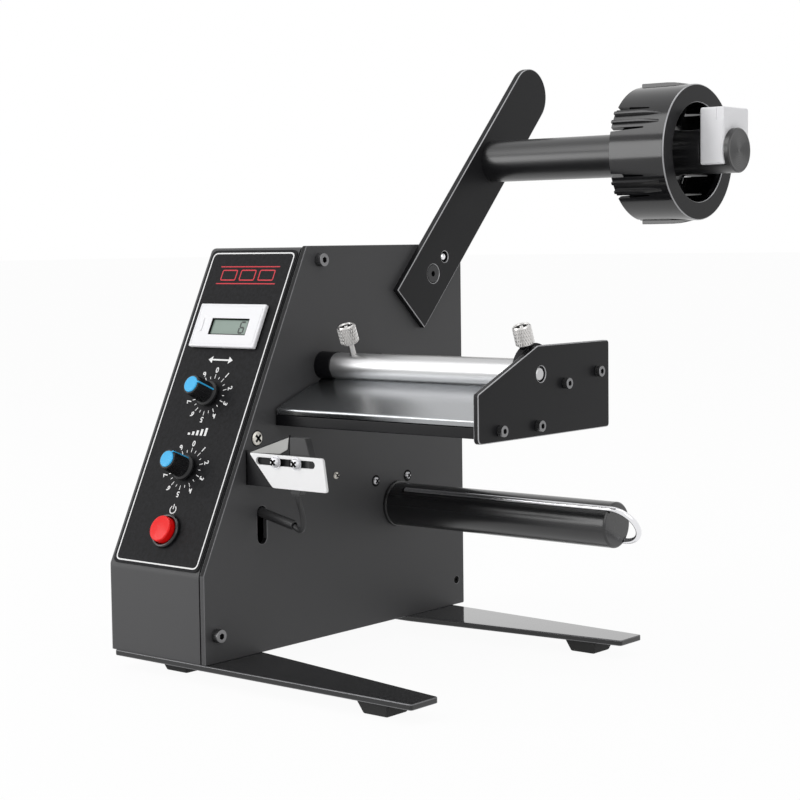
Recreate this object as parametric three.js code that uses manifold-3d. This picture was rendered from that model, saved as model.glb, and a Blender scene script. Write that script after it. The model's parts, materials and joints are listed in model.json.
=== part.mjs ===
// Table-top machine that peels labels off a roll and winds up the empty backing.
// Millimetres. X runs out of the side plate along the rollers, Y from the control panel
// to the rear, Z up. While it is built, the outer face of the side plate lies at X = 0
// and the bottom of the housing at Z = 0. At the end the whole machine is moved so that
// the origin is the middle of its footprint, at the bottom of its rubber feet.
import * as THREE from 'three';
import * as BufferGeometryUtils from 'three/addons/utils/BufferGeometryUtils.js';
import Module from 'manifold-3d';

const wasm = await Module();
wasm.setup();

// Clearances and round counts shared by every piece
const gap = 0.3;
const slideGap = 0.4;
const cutOver = 2;
const roundSides = 28;
const smallSides = 16;
const screwSides = 12;

// Housing
const plateThick = 3;
const coverSeam = 0.8;
const coverThick = 1.2;
const coverInset = 0.8;
const housingWidth = 72;
const housingDepth = 213;
const housingHeight = 211;
const slantFoot = 46;
const slantTop = 80.5;
const basePlateThick = 1.5;
const coverBend = 4;
const slantAngle = Math.atan2(housingHeight - slantFoot, slantTop);
const slantLength = Math.hypot(housingHeight - slantFoot, slantTop);

// Foot bars and rubber feet
const barThick = 3;
const barLeft = 4;
const barReach = 134.3;
const barRootWidth = 42;
const barTipWidth = 20;
const barCorner = 2;
const rearBarSkew = 7.5;
const rearBarEdge = 10;
const footTop = 20;
const footBottom = 15;
const footHeight = 7;
const footRightPlace = 108.2;
const footFrontLeftPlace = -35.5;
const footRearLeftPlace = -42;

// Control panel, measured along the slant
const overlayThick = 0.4;
const overlayTopMargin = 2.2;
const overlayFootMargin = 1;
const overlayLeft = 3.3;
const overlayRight = 4.9;
const panelMiddle = 36.5;
const counterWide = 48.5;
const counterTall = 25;
const counterRise = 2.5;
const counterBodyWide = 45;
const counterBodyTall = 22;
const counterBodyDeep = 18;
const counterPlace = 136;
const counterMiddle = 37.25;
const displayWide = 27.8;
const displayTall = 9.6;
const displaySink = 1.6;
const displayRight = 1.65;
const displayDown = 0.8;
const lengthKnobPlace = 97;
const speedKnobPlace = 55.2;
const knobStand = 1.3;
const knobTall = 13.2;
const knobFootRadius = 5.9;
const knobTopRadius = 5.2;
const skirtRadius = 6.9;
const skirtTall = 1.6;
const capRadius = 4.5;
const capTall = 0.8;
const pointerWide = 1.2;
const pointerRise = 0.35;
const potShaftRadius = 3;
const potBushRadius = 3.6;
const potBodyRadius = 8.2;
const potBodyTall = 9;
const lengthKnobTurn = THREE.MathUtils.degToRad(-72);
const speedKnobTurn = THREE.MathUtils.degToRad(-32);
const buttonPlace = 20.8;
const buttonMiddle = 36;
const buttonRadius = 7;
const buttonBezelRadius = 9.3;
const buttonBodyRadius = 8;
const buttonBezelTall = 2;
const buttonRise = 5.5;
const buttonBodyDeep = 22;
const buttonTravel = 2.5;

// Label bar, spacer rods and end plate
const labelWidth = 140;
const endPlateThick = 3;
const endPlateFront = 41.2;
const endPlateRear = 151.6;
const endPlateBottom = 116.8;
const endPlateTop = 161.2;
const endPlateSlantFoot = 140.4;
const endPlateSlantTop = 89.4;
const endPlateCorner = 2;
const barRadius = 7;
const barY = 92;
const barZ = 147.2;
const barWindow = 3.9;
const rodRadius = 5;
const frontRodY = 112.3;
const frontRodZ = 141.5;
const rearRodY = 141;
const rearRodZ = 145.8;
const supportFrontY = 58.1;
const supportRearY = 89;
const supportZ = 122.1;
const supportLeg = 7.5;
const supportWeb = 3;
const supportBelow = 4.3;

// Screws of the M4, M5 and M3 sizes
const m4Head = 3.5;
const m4HeadTall = 4;
const m4Shank = 2;
const m4Socket = 1.75;
const m5Head = 5;
const m5Shank = 2.5;
const m5Socket = 1.75;
const m3Head = 2.75;
const m3Shank = 1.5;
const m3HeadTall = 2;
const m3CapTall = 3;
const m3Socket = 1.44;
const washerRadius = 3.4;
const washerThick = 0.5;
const screwDeep = 10;
const socketDeep = 2;
const m4Cap = { shank: m4Shank, head: m4Head, tall: m4HeadTall, socket: m4Socket };
const m3Cap = { shank: m3Shank, head: m3Head, tall: m3CapTall, socket: m3Socket };

// Label plate
const labelPlateThick = 1.8;
const labelPlateLong = 39;
const labelPlateFrontY = 53.2;
const labelPlateFrontZ = 126.6;
const labelPlateAngle = THREE.MathUtils.degToRad(21);
const labelPlateLip = 3.2;
const labelPlateEnd = 1.5;

// Thumb screws and guide ring
const thumbHeadRadius = 4.7;
const thumbHeadTall = 10.2;
const thumbStemRadius = 1.5;
const thumbStemShown = 6.4;
const thumbRecess = 0.7;
const thumbRim = 0.9;
const thumbLean = THREE.MathUtils.degToRad(20.5);
const thumbSink = 4;
const leftThumbX = 23.8;
const ringThick = 4;
const ringOuter = 15.2;
const ringEndGap = 0.3;
const knurlCount = 24;
const knurlDeep = 0.25;

// Unwind arm, shaft, core hub and retainer
const armThick = 4;
const armWide = 32;
const armFootFromRear = 50.6;
const armFootFromTop = 36.2;
const armFootY = housingDepth - armFootFromRear;
const armFootZ = housingHeight - armFootFromTop;
const armAngle = THREE.MathUtils.degToRad(47.1);
const armScrewAlong = 27.9;
const armScrewAcross = -1.4;
const armPinAlong = 42.1;
const armPinAcross = -2.7;
const armPinRadius = 2.4;
const armPinHole = 3.1;
const armShaftAlong = 115;
const armEndAlong = 170;
const shaftRadius = 12;
const shaftEnd = 168;
const notchStart = 149.5;
const notchEnd = 165;
const notchShelf = 4.3;
const hubSides = 48;
const hubFront = 143;
const hubLong = 34.3;
const hubRadius = 36.8;
const hubWall = 2.8;
const hubFaceInner = 26.8;
const hubFaceThick = 4;
const hubSleeveWall = 2.6;
const hubSleeveShare = 0.6;
const hubSpokeThick = 2.6;
const hubSpokeStart = 4;
const hubWebGap = 1.5;
const hubSpokeEndShare = 0.5;
const hubFingerCount = 6;
const hubFingerHalf = 5.5;
const hubSlotWide = 1.6;
const hubSlotLongShare = 0.6;
const hubRibRise = 1.9;
const hubRibThick = 1.7;
const hubRibSpread = 2.6;
const hubRibShare = 0.9;
const retainerDeep = 26.7;
const retainerShift = 2.3;
const retainerTall = 30.5;

// Rewind spindle and its drive
const spindleFromRear = 60.2;
const spindleY = housingDepth - spindleFromRear;
const spindleZ = 65.8;
const spindleRadius = 12;
const spindleLong = 147;
const spindleFlange = 13.5;
const spindleFlangeThick = 1.5;
const spindleBoreLong = 60;
const grooveAngle = THREE.MathUtils.degToRad(128);
const clipRadius = 1.5;
const clipOffset = 11.5;
const clipStart = 12;
const clipBendReach = 0.8;
const clipBendStart = spindleLong + clipBendReach;
const driveShaftRadius = 4;
const driveShaftInner = 26;
const bearingBossRadius = 10.8;
const bearingBodyRadius = 17;
const bearingDeep = 9;
const pulleyWide = 9;
const pulleyFlange = 1;
const pulleyStart = 12.5;
const spindlePulleyRadius = 16;
const motorPulleyRadius = 8;
const pulleyRim = 1.8;
const beltThick = 1.2;
const motorFromSpindle = 47.8;
const motorY = spindleY - motorFromSpindle;
const motorZ = 66;
const gearboxRadius = 18.5;
const gearboxLong = 18;
const motorCanRadius = 17;
const motorCanLong = 24;
const motorShaftRadius = 3;
const motorBracketThick = 2;
const motorBracketHalf = 22;
const motorBracketFoot = 12;

// Sensor group under the label plate
const slotHalf = 3.5;
const slotY = 43;
const slotTopZ = 76.8;
const slotBottomZ = 56.8;
const bracketY = 31.5;
const bracketThick = 1.5;
const bracketBottom = 89;
const bracketShoulder = 106;
const bracketPeak = 115.3;
const bracketPeakX = 31;
const bracketFootLong = 27;
const sensorWide = 13.5;
const sensorTopWide = 10.6;
const sensorFootWide = 6;
const sensorDeep = 4.8;
const sensorBottom = 86.3;
const sensorWaist = 97;
const sensorShoulder = 106.5;
const sensorTop = 115.2;
const gatePlateThick = 1.5;
const gateLeft = 4.3;
const gateTopRight = 54.9;
const gateBottomLeft = 20.5;
const gateBottomRight = 57.5;
const gateCorner = 2.5;
const gateSlotLeft = 9.2;
const gateSlotRight = 49.5;
const gateSlotHalf = 1.9;
const gateScrewZ = 102.3;
const gateScrewLeft = 23.1;
const gateScrewRight = 37.3;
const sleeveRadius = 2.6;
const sleeveWall = 0.9;
const sleeveLong = 34;
const sleeveOut = 23.5;
const sleeveDroop = THREE.MathUtils.degToRad(12);
const leadRadius = 1.4;
const leadLoop = 7.5;
const leadLoopDrop = 2.1;

// Side plate fasteners, as distance from the front and height
const coverScrewFrontIn = 8;
const coverScrewUp = 14.4;
const coverScrewRearIn = 6.8;
const coverScrewTopIn = 9.7;
const coverScrewTopDown = 7.6;
const coverScrewPlaces = [
  [coverScrewFrontIn, coverScrewUp],
  [housingDepth - coverScrewRearIn, coverScrewUp],
  [slantTop + coverScrewTopIn, housingHeight - coverScrewTopDown],
];

// Electrics inside the housing
const boardDeep = 90;
const boardTall = 60;
const boardThick = 1.6;
const boardStandoff = 6;
const boardStandoffRadius = 3;
const boardFromRear = 93;
const boardFromTop = 61;
const boardY = housingDepth - boardFromRear;
const boardZ = housingHeight - boardFromTop;
const chipWide = 20;
const chipTall = 12;
const capacitorRadius = 6;
const capacitorTall = 16;
const inletWide = 27;
const inletTall = 19;
const inletDeep = 16;
const inletFlange = 2;
const inletRim = 3;
const inletX = -35;
const inletZ = 30;
const inletHollow = 12;
const inletWall = 3;
const inletPinThick = 1.2;
const inletPinTall = 3;
const inletPinRise = 1.5;

// Materials
function finish(color, roughness, metalness) {
  return new THREE.MeshStandardMaterial({ color, roughness, metalness });
}
const charcoalPaint = finish(0x4b4b4d, 0.55, 0.2);
const overlayBlack = finish(0x232325, 0.75, 0);
const armBlack = finish(0x262627, 0.5, 0.3);
const glossBlack = finish(0x151516, 0.22, 0);
const satinBlackMetal = finish(0x1b1b1d, 0.4, 0.6);
const rubberBlack = finish(0x1a1a1a, 0.85, 0);
const whitePlastic = finish(0xebebed, 0.4, 0);
const displayGreen = finish(0x8f9f95, 0.25, 0);
const capBlue = finish(0x2f9fe0, 0.4, 0);
const buttonRed = finish(0xd8201c, 0.25, 0);
const chrome = finish(0xd6d7da, 0.12, 1);
const polishedSteel = finish(0xc3c5ca, 0.08, 1);
const brushedSteel = finish(0xc9c9cb, 0.35, 1);
const zincSteel = finish(0xb5b3ae, 0.4, 1);
const boardGreen = finish(0x1f5b38, 0.5, 0);
const beltBlack = finish(0x1d1d1d, 0.8, 0);

// Joining and cutting of closed meshes
const weldReach = 1e-4;
function solidOf(geometry) {
  const bare = geometry.index ? geometry.toNonIndexed() : geometry.clone();
  bare.deleteAttribute('normal');
  bare.deleteAttribute('uv');
  const merged = BufferGeometryUtils.mergeVertices(bare, weldReach);
  return new wasm.Manifold(new wasm.Mesh({
    numProp: 3,
    vertProperties: new Float32Array(merged.attributes.position.array),
    triVerts: new Uint32Array(merged.index.array),
  }));
}
function geometryOf(solid) {
  const shape = solid.getMesh();
  const geometry = new THREE.BufferGeometry();
  geometry.setAttribute('position', new THREE.BufferAttribute(new Float32Array(shape.vertProperties), 3));
  geometry.setIndex(new THREE.BufferAttribute(new Uint32Array(shape.triVerts), 1));
  geometry.computeVertexNormals();
  return geometry;
}
function cut(body, ...tools) {
  return geometryOf(tools.reduce((solid, tool) => solid.subtract(solidOf(tool)), solidOf(body)));
}
function join(...pieces) {
  return geometryOf(pieces.slice(1).reduce((solid, piece) => solid.add(solidOf(piece)), solidOf(pieces[0])));
}

// Basic forms. The ones along X start at X = 0 unless told otherwise.
const alongX = new THREE.Matrix4().makeBasis(
  new THREE.Vector3(0, 1, 0),
  new THREE.Vector3(0, 0, 1),
  new THREE.Vector3(1, 0, 0),
);
function block(wide, deep, tall, x, y, z) {
  const geometry = new THREE.BoxGeometry(wide, deep, tall);
  geometry.translate(x, y, z);
  return geometry;
}
function roundX(radius, start, end, y = 0, z = 0, sides = roundSides) {
  const geometry = new THREE.CylinderGeometry(radius, radius, end - start, sides);
  geometry.rotateZ(-Math.PI / 2);
  geometry.translate((start + end) / 2, y, z);
  return geometry;
}
function roundZ(radius, start, end, sides = roundSides, footRadius = radius) {
  const geometry = new THREE.CylinderGeometry(radius, footRadius, end - start, sides);
  geometry.rotateX(Math.PI / 2);
  geometry.translate(0, 0, (start + end) / 2);
  return geometry;
}
function latheX(profile, sides = roundSides) {
  const geometry = new THREE.LatheGeometry(profile.map(([r, x]) => new THREE.Vector2(r, x)), sides);
  geometry.rotateZ(-Math.PI / 2);
  return geometry;
}
function latheZ(profile, sides = roundSides) {
  const geometry = new THREE.LatheGeometry(profile.map(([r, z]) => new THREE.Vector2(r, z)), sides);
  geometry.rotateX(Math.PI / 2);
  return geometry;
}
function outline(points) {
  return new THREE.Shape(points.map(([a, b]) => new THREE.Vector2(a, b)));
}
function roundHole(a, b, radius) {
  const hole = new THREE.Path();
  hole.absarc(a, b, radius, 0, 2 * Math.PI, true);
  return hole;
}
function roundedOutline(points, radius) {
  const shape = new THREE.Shape();
  points.forEach(([a, b], i) => {
    const corner = new THREE.Vector2(a, b);
    const before = new THREE.Vector2(...points.at(i - 1)).sub(corner).normalize();
    const after = new THREE.Vector2(...points[(i + 1) % points.length]).sub(corner).normalize();
    const reach = radius / Math.tan(Math.acos(before.dot(after)) / 2);
    const start = corner.clone().addScaledVector(before, reach);
    const end = corner.clone().addScaledVector(after, reach);
    if (i === 0) shape.moveTo(start.x, start.y);
    else shape.lineTo(start.x, start.y);
    shape.quadraticCurveTo(corner.x, corner.y, end.x, end.y);
  });
  shape.closePath();
  return shape;
}
// A sheet whose outline is given as distance from the front and height
function sheetX(shape, start, thick, curveSegments = 3) {
  const geometry = new THREE.ExtrudeGeometry(shape, { depth: thick, bevelEnabled: false, curveSegments });
  geometry.applyMatrix4(alongX);
  geometry.translate(start, 0, 0);
  return geometry;
}
function sheetZ(shape, start, thick, curveSegments = 3) {
  const geometry = new THREE.ExtrudeGeometry(shape, { depth: thick, bevelEnabled: false, curveSegments });
  geometry.translate(0, 0, start);
  return geometry;
}
function tube(path, radius, steps, sides) {
  const section = new THREE.Shape();
  section.absarc(0, 0, radius, 0, 2 * Math.PI, false);
  return new THREE.ExtrudeGeometry(section, {
    steps,
    extrudePath: path,
    curveSegments: sides / 2,
    bevelEnabled: false,
  });
}

// Placing
const machine = new THREE.Group();
function frame(x, y, z, turnX = 0) {
  const group = new THREE.Group();
  group.position.set(x, y, z);
  group.rotation.x = turnX;
  machine.add(group);
  return group;
}
function place(name, geometry, material, parent = machine, x = 0, y = 0, z = 0) {
  const mesh = new THREE.Mesh(geometry, material);
  mesh.name = name;
  mesh.position.set(x, y, z);
  parent.add(mesh);
  return mesh;
}
const panelFrame = frame(0, 0, slantFoot, slantAngle);
const armFrame = frame(0, armFootY, armFootZ, armAngle);
const labelPlateFrame = frame(0, labelPlateFrontY, labelPlateFrontZ, labelPlateAngle);
const panelSurface = -coverInset;
const overlayFace = panelSurface + gap + overlayThick;

// Side plate: the flat plate that carries every roller
function sidePlate() {
  const shape = outline([
    [0, 0],
    [housingDepth, 0],
    [housingDepth, housingHeight],
    [slantTop, housingHeight],
    [0, slantFoot],
  ]);
  const slot = new THREE.Path();
  slot.absarc(slotY, slotTopZ - slotHalf, slotHalf, 0, Math.PI, false);
  slot.absarc(slotY, slotBottomZ + slotHalf, slotHalf, Math.PI, 2 * Math.PI, false);
  shape.holes.push(slot, roundHole(spindleY, spindleZ, bearingBossRadius + gap));
  for (const [y, z] of coverScrewPlaces) shape.holes.push(roundHole(y, z, m4Shank + gap));
  const [screwY, screwZ] = alongArm(armScrewAlong, armScrewAcross);
  shape.holes.push(roundHole(screwY, screwZ, m5Shank + gap));
  const [pinY, pinZ] = alongArm(armPinAlong, armPinAcross);
  shape.holes.push(roundHole(pinY, pinZ, armPinRadius + gap));
  return sheetX(shape, -plateThick, plateThick, 9);
}
function alongArm(along, across = 0) {
  return [
    armFootY + along * Math.cos(armAngle) - across * Math.sin(armAngle),
    armFootZ + along * Math.sin(armAngle) + across * Math.cos(armAngle),
  ];
}

// Housing cover: front, slanted panel, top, rear and left wall folded from one sheet
const coverEdge = -plateThick - coverSeam;
function coverProfile(inset) {
  const foot = slantFoot - inset * Math.tan((Math.PI / 2 - slantAngle) / 2);
  const top = slantTop + inset * Math.tan(slantAngle / 2);
  return [
    [inset, 0],
    [housingDepth - inset, 0],
    [housingDepth - inset, housingHeight - inset],
    [top, housingHeight - inset],
    [inset, foot],
  ];
}
function coverCutter(inset, leftInset) {
  const shape = outline(coverProfile(inset).map(([y, z]) => [y, z === 0 ? -cutOver : z]));
  const start = -housingWidth + leftInset;
  return sheetX(shape, start, coverEdge + cutOver - start);
}
function onPanel(geometry) {
  geometry.rotateX(slantAngle);
  geometry.translate(0, 0, slantFoot);
  return geometry;
}
function panelHole(radius, along, middle = panelMiddle) {
  const hole = roundZ(radius, -coverThick - cutOver - coverInset, cutOver, roundSides);
  hole.translate(-middle, along, 0);
  return onPanel(hole);
}
function housingCover() {
  const start = -housingWidth;
  const outer = sheetX(outline(coverProfile(coverInset)), start, coverEdge - start);
  const bend = cut(
    block(coverBend * 2, coverBend * 2, housingHeight, start, coverInset, housingHeight / 2 - cutOver),
    roundColumn(coverBend, start + coverBend, coverInset + coverBend),
  );
  const bendInside = coverBend - coverThick;
  const hollow = cut(
    coverCutter(coverInset + coverThick, coverThick),
    cut(
      block(bendInside * 2, bendInside * 2, housingHeight, start + coverThick, coverInset + coverThick,
        housingHeight / 2 - cutOver),
      roundColumn(bendInside, start + coverBend, coverInset + coverBend),
    ),
  );
  const counterHole = onPanel(block(counterBodyWide + 2 * gap, counterBodyTall + 2 * gap,
    2 * (coverThick + cutOver), -counterMiddle, counterPlace, -coverInset));
  const inletHole = block(inletWide + 2 * gap, coverThick + 2 * cutOver, inletTall + 2 * gap,
    inletX, housingDepth - coverInset, inletZ);
  return cut(
    outer,
    bend,
    hollow,
    counterHole,
    inletHole,
    panelHole(potBushRadius + gap, lengthKnobPlace),
    panelHole(potBushRadius + gap, speedKnobPlace),
    panelHole(buttonBodyRadius + gap, buttonPlace, buttonMiddle),
  );
}
function roundColumn(radius, x, y) {
  const column = roundZ(radius, -housingHeight, 2 * housingHeight, roundSides);
  column.translate(x, y, 0);
  return column;
}

// Base plate with a turned-up edge along its left side
function basePlate() {
  const left = -housingWidth + coverThick + gap;
  const front = coverInset + coverBend;
  const rear = housingDepth - coverInset - coverThick - gap;
  const right = -plateThick;
  const middleX = (left + right) / 2;
  const middleY = (front + rear) / 2;
  const flange = block(basePlateThick, rear - front, screwDeep, left + basePlateThick / 2, middleY,
    screwDeep / 2);
  return join(block(right - left, rear - front, basePlateThick, middleX, middleY, basePlateThick / 2),
    flange);
}

// Foot bars: flat blades that widen towards the housing
function frontBar() {
  const points = [
    [-housingWidth + barLeft, 0],
    [barReach, 0],
    [barReach, barTipWidth],
    [0, barRootWidth],
    [-housingWidth + barLeft, barRootWidth],
  ];
  return sheetZ(roundedOutline(points, barCorner), -barThick, barThick);
}
function rearBar() {
  const rear = housingDepth - rearBarEdge;
  const points = [
    [-housingWidth + barLeft, rear - barRootWidth],
    [0, rear - barRootWidth],
    [barReach, rear - rearBarSkew - barTipWidth],
    [barReach, rear - rearBarSkew],
    [0, rear],
    [-housingWidth + barLeft, rear],
  ];
  return sheetZ(roundedOutline(points, barCorner), -barThick, barThick);
}
function rubberFoot() {
  const geometry = new THREE.CylinderGeometry(footTop / Math.SQRT2, footBottom / Math.SQRT2, footHeight, 4);
  geometry.rotateY(Math.PI / 4);
  geometry.rotateX(Math.PI / 2);
  geometry.translate(0, 0, -footHeight / 2);
  return geometry;
}
function barMiddle(x, rear) {
  const along = Math.max(x, 0) / barReach;
  if (!rear) return (barRootWidth + (barTipWidth - barRootWidth) * along) / 2;
  const back = housingDepth - rearBarEdge - rearBarSkew * along;
  return back - (barRootWidth + (barTipWidth - barRootWidth) * along) / 2;
}

// Control panel pieces, built with local Z pointing out of the panel
function panelOverlay() {
  const left = -housingWidth + overlayLeft;
  const shape = roundedOutline([
    [left, overlayFootMargin],
    [-overlayRight, overlayFootMargin],
    [-overlayRight, slantLength - overlayTopMargin],
    [left, slantLength - overlayTopMargin],
  ], coverBend);
  const window = new THREE.Path();
  const halfWide = counterBodyWide / 2 + gap;
  const halfTall = counterBodyTall / 2 + gap;
  window.moveTo(-counterMiddle - halfWide, counterPlace - halfTall);
  window.lineTo(-counterMiddle - halfWide, counterPlace + halfTall);
  window.lineTo(-counterMiddle + halfWide, counterPlace + halfTall);
  window.lineTo(-counterMiddle + halfWide, counterPlace - halfTall);
  window.closePath();
  shape.holes.push(
    window,
    roundHole(-panelMiddle, lengthKnobPlace, potBushRadius + gap),
    roundHole(-panelMiddle, speedKnobPlace, potBushRadius + gap),
    roundHole(-buttonMiddle, buttonPlace, buttonBodyRadius + gap),
  );
  return sheetZ(shape, overlayFace - overlayThick, overlayThick, 6);
}
function counterBody() {
  const bezel = block(counterWide, counterTall, counterRise, 0, 0, overlayFace + gap + counterRise / 2);
  const body = block(counterBodyWide, counterBodyTall, counterBodyDeep + counterRise, 0, 0,
    overlayFace + gap + counterRise / 2 - counterBodyDeep / 2);
  const face = overlayFace + gap + counterRise;
  const window = block(displayWide, displayTall, 2 * displaySink, displayRight, -displayDown, face);
  return cut(join(bezel, body), window);
}
function counterDisplay() {
  const bottom = overlayFace + gap + counterRise - displaySink + gap;
  const thick = displaySink - 2 * gap;
  return block(displayWide - gap, displayTall - gap, thick, displayRight, -displayDown, bottom + thick / 2);
}
function potentiometer() {
  const inside = panelSurface - coverThick - gap;
  const shaftTop = overlayFace + knobTall / 2;
  return latheZ([
    [0, inside - potBodyTall],
    [potBodyRadius, inside - potBodyTall],
    [potBodyRadius, inside],
    [potBushRadius, inside],
    [potBushRadius, overlayFace],
    [potShaftRadius, overlayFace],
    [potShaftRadius, shaftTop],
    [0, shaftTop],
  ], roundSides);
}
function knob() {
  const foot = overlayFace + gap + knobStand;
  const top = foot + knobTall;
  const bore = potShaftRadius + gap;
  const boreTop = overlayFace + knobTall / 2 + gap;
  const body = latheZ([
    [bore, foot],
    [skirtRadius, foot],
    [skirtRadius, foot + skirtTall],
    [knobFootRadius, foot + skirtTall],
    [knobTopRadius, top],
    [0, top],
    [0, boreTop],
    [bore, boreTop],
    [bore, foot],
  ], roundSides);
  const pointerFoot = foot + skirtTall / 2;
  const pointerDeep = knobFootRadius + pointerRise - bore;
  const pointer = block(pointerWide, pointerDeep, top - pointerFoot, 0, bore + pointerDeep / 2,
    (top + pointerFoot) / 2);
  return join(body, pointer);
}
function knobCap() {
  const foot = overlayFace + gap + knobStand + knobTall;
  return latheZ([
    [0, foot],
    [capRadius, foot],
    [capRadius, foot + capTall / 2],
    [capRadius - capTall / 2, foot + capTall],
    [0, foot + capTall],
  ], roundSides);
}
function buttonHousing() {
  const seat = overlayFace + gap;
  const inner = buttonRadius + gap;
  const floor = seat - buttonBodyDeep;
  const well = buttonTravel + buttonRise;
  return latheZ([
    [0, floor],
    [buttonBodyRadius, floor],
    [buttonBodyRadius, seat],
    [buttonBezelRadius, seat],
    [buttonBezelRadius - gap, seat + buttonBezelTall],
    [inner, seat + buttonBezelTall],
    [inner, seat - well],
    [0, seat - well],
  ], roundSides);
}
function powerButton() {
  const seat = overlayFace + gap;
  const foot = seat - buttonRise + gap;
  const top = seat + buttonRise;
  return latheZ([
    [0, foot],
    [buttonRadius, foot],
    [buttonRadius, top - 2 * capTall],
    [buttonRadius - capTall, top - capTall / 2],
    [buttonRadius / 2, top],
    [0, top],
  ], roundSides);
}

// Screws along X, with the seat of the head at X = 0 and the shank towards -X
function capScrew(shankLong, { shank, head, tall, socket }) {
  const body = latheX([
    [0, -shankLong],
    [shank, -shankLong],
    [shank, 0],
    [head, 0],
    [head, tall - gap],
    [head - gap, tall],
    [0, tall],
  ], screwSides);
  return cut(body, roundX(socket, tall - socketDeep, tall + cutOver, 0, 0, 6));
}
function setScrew(long) {
  const body = roundX(m4Shank, -long, -gap, 0, 0, screwSides);
  return cut(body, roundX(m4Shank / 2, -socketDeep, cutOver, 0, 0, 6));
}
function countersunkScrew(shankLong) {
  const body = latheX([
    [0, -shankLong],
    [m5Shank, -shankLong],
    [m5Shank, m5Shank - m5Head],
    [m5Head, 0],
    [0, 0],
  ], smallSides);
  return cut(body, roundX(m5Socket, -socketDeep, cutOver, 0, 0, 6));
}
function panScrewY(shankLong) {
  const geometry = latheZ([
    [0, -shankLong],
    [m3Shank, -shankLong],
    [m3Shank, 0],
    [washerRadius, 0],
    [washerRadius, washerThick],
    [m3Head, washerThick],
    [m3Head, washerThick + m3HeadTall / 2],
    [m3Head / 2, washerThick + m3HeadTall],
    [0, washerThick + m3HeadTall],
  ], screwSides);
  geometry.rotateX(Math.PI / 2);
  return geometry;
}

// Unwind arm: flat bar with a round end
function unwindArm() {
  const half = armWide / 2;
  const shape = new THREE.Shape();
  shape.moveTo(0, -half);
  shape.lineTo(armEndAlong, -half);
  shape.absarc(armEndAlong, 0, half, -Math.PI / 2, Math.PI / 2, false);
  shape.lineTo(0, half);
  shape.closePath();
  shape.holes.push(
    roundHole(armPinAlong, armPinAcross, armPinHole),
    roundHole(armShaftAlong, 0, m5Shank + gap),
  );
  const bar = sheetX(shape, 0, armThick, 14);
  const seat = latheX([
    [0, -cutOver],
    [m5Shank + gap, -cutOver],
    [m5Shank + gap, armThick - m5Head + m5Shank],
    [m5Head + gap, armThick + gap],
    [m5Head + gap, armThick + cutOver],
    [0, armThick + cutOver],
  ], smallSides);
  seat.translate(0, armScrewAlong, armScrewAcross);
  return cut(bar, seat);
}
function armPin() {
  return latheX([
    [0, -plateThick - screwDeep / 2],
    [armPinRadius, -plateThick - screwDeep / 2],
    [armPinRadius, armThick / 2],
    [armPinRadius / 2, armThick - gap],
    [0, armThick - gap],
  ], smallSides);
}
function unwindShaft() {
  const body = latheX([
    [0, 0],
    [m5Shank, 0],
    [m5Shank, armThick],
    [shaftRadius, armThick],
    [shaftRadius, shaftEnd - gap],
    [shaftRadius - gap, shaftEnd],
    [0, shaftEnd],
  ]);
  const notch = block(notchEnd - notchStart, 2 * (shaftRadius + cutOver), 2 * shaftRadius,
    (notchStart + notchEnd) / 2, 0, notchShelf);
  notch.rotateX(-armAngle);
  return cut(body, notch);
}
// Core hub: a ring on spokes, with six spring fingers that grip the core
function coreHub() {
  const rear = hubFront - hubLong;
  const bore = shaftRadius + gap;
  const sleeve = bore + hubSleeveWall;
  const inner = hubRadius - hubWall;
  const shell = latheX([
    [inner, rear],
    [hubRadius, rear],
    [hubRadius, hubFront - gap],
    [hubRadius - gap, hubFront],
    [hubFaceInner, hubFront],
    [hubFaceInner, hubFront - hubFaceThick],
    [inner, hubFront - hubFaceThick],
    [inner, rear],
  ], hubSides);
  const core = latheX([
    [bore, rear],
    [sleeve, rear],
    [sleeve, rear + hubLong * hubSleeveShare],
    [bore, rear + hubLong * hubSleeveShare],
    [bore, rear],
  ]);
  const webRear = rear + hubSpokeStart;
  const web = latheX([
    [bore, webRear],
    [inner - hubWebGap, webRear],
    [inner - hubWebGap, webRear + hubSpokeThick],
    [bore, webRear + hubSpokeThick],
    [bore, webRear],
  ]);
  const slots = [];
  const ribs = [];
  const spokes = [];
  const slotLong = hubLong * hubSlotLongShare;
  const webLong = hubLong * hubSpokeEndShare - hubSpokeStart;
  const webMiddle = webRear + webLong / 2;
  for (let i = 0; i < hubFingerCount; i += 1) {
    const angle = (i + 0.5) * (2 * Math.PI) / hubFingerCount;
    for (const side of [-1, 1]) {
      const slot = block(slotLong + cutOver, hubSlotWide, 2 * hubWall + cutOver,
        rear + (slotLong - cutOver) / 2, side * (hubFingerHalf + hubSlotWide / 2), hubRadius - hubWall / 2);
      slots.push(turned(slot, angle));
      ribs.push(turned(hubRib(rear, side * hubRibSpread), angle));
    }
    const spoke = block(webLong, hubSpokeThick, inner - bore, webMiddle, 0,
      (inner + bore + hubSpokeThick) / 2);
    spokes.push(turned(spoke, angle + Math.PI / hubFingerCount));
  }
  const ring = cut(shell, ...slots);
  return cut(join(ring, core, web, ...spokes, ...ribs), roundX(bore, rear - cutOver, hubFront + cutOver));
}
function hubRib(rear, offset) {
  const long = hubLong * hubRibShare;
  const shape = new THREE.Shape([
    new THREE.Vector2(rear, hubRadius - hubWall / 2),
    new THREE.Vector2(rear + long, hubRadius - hubWall / 2),
    new THREE.Vector2(rear + long, hubRadius - gap),
    new THREE.Vector2(rear + long / 2, hubRadius + hubRibRise),
    new THREE.Vector2(rear, hubRadius + hubRibRise),
  ]);
  const geometry = new THREE.ExtrudeGeometry(shape, { depth: hubRibThick, bevelEnabled: false });
  geometry.rotateX(Math.PI / 2);
  geometry.translate(0, offset + hubRibThick / 2, 0);
  return geometry;
}
function turned(geometry, angle) {
  geometry.rotateX(angle);
  return geometry;
}
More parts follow.
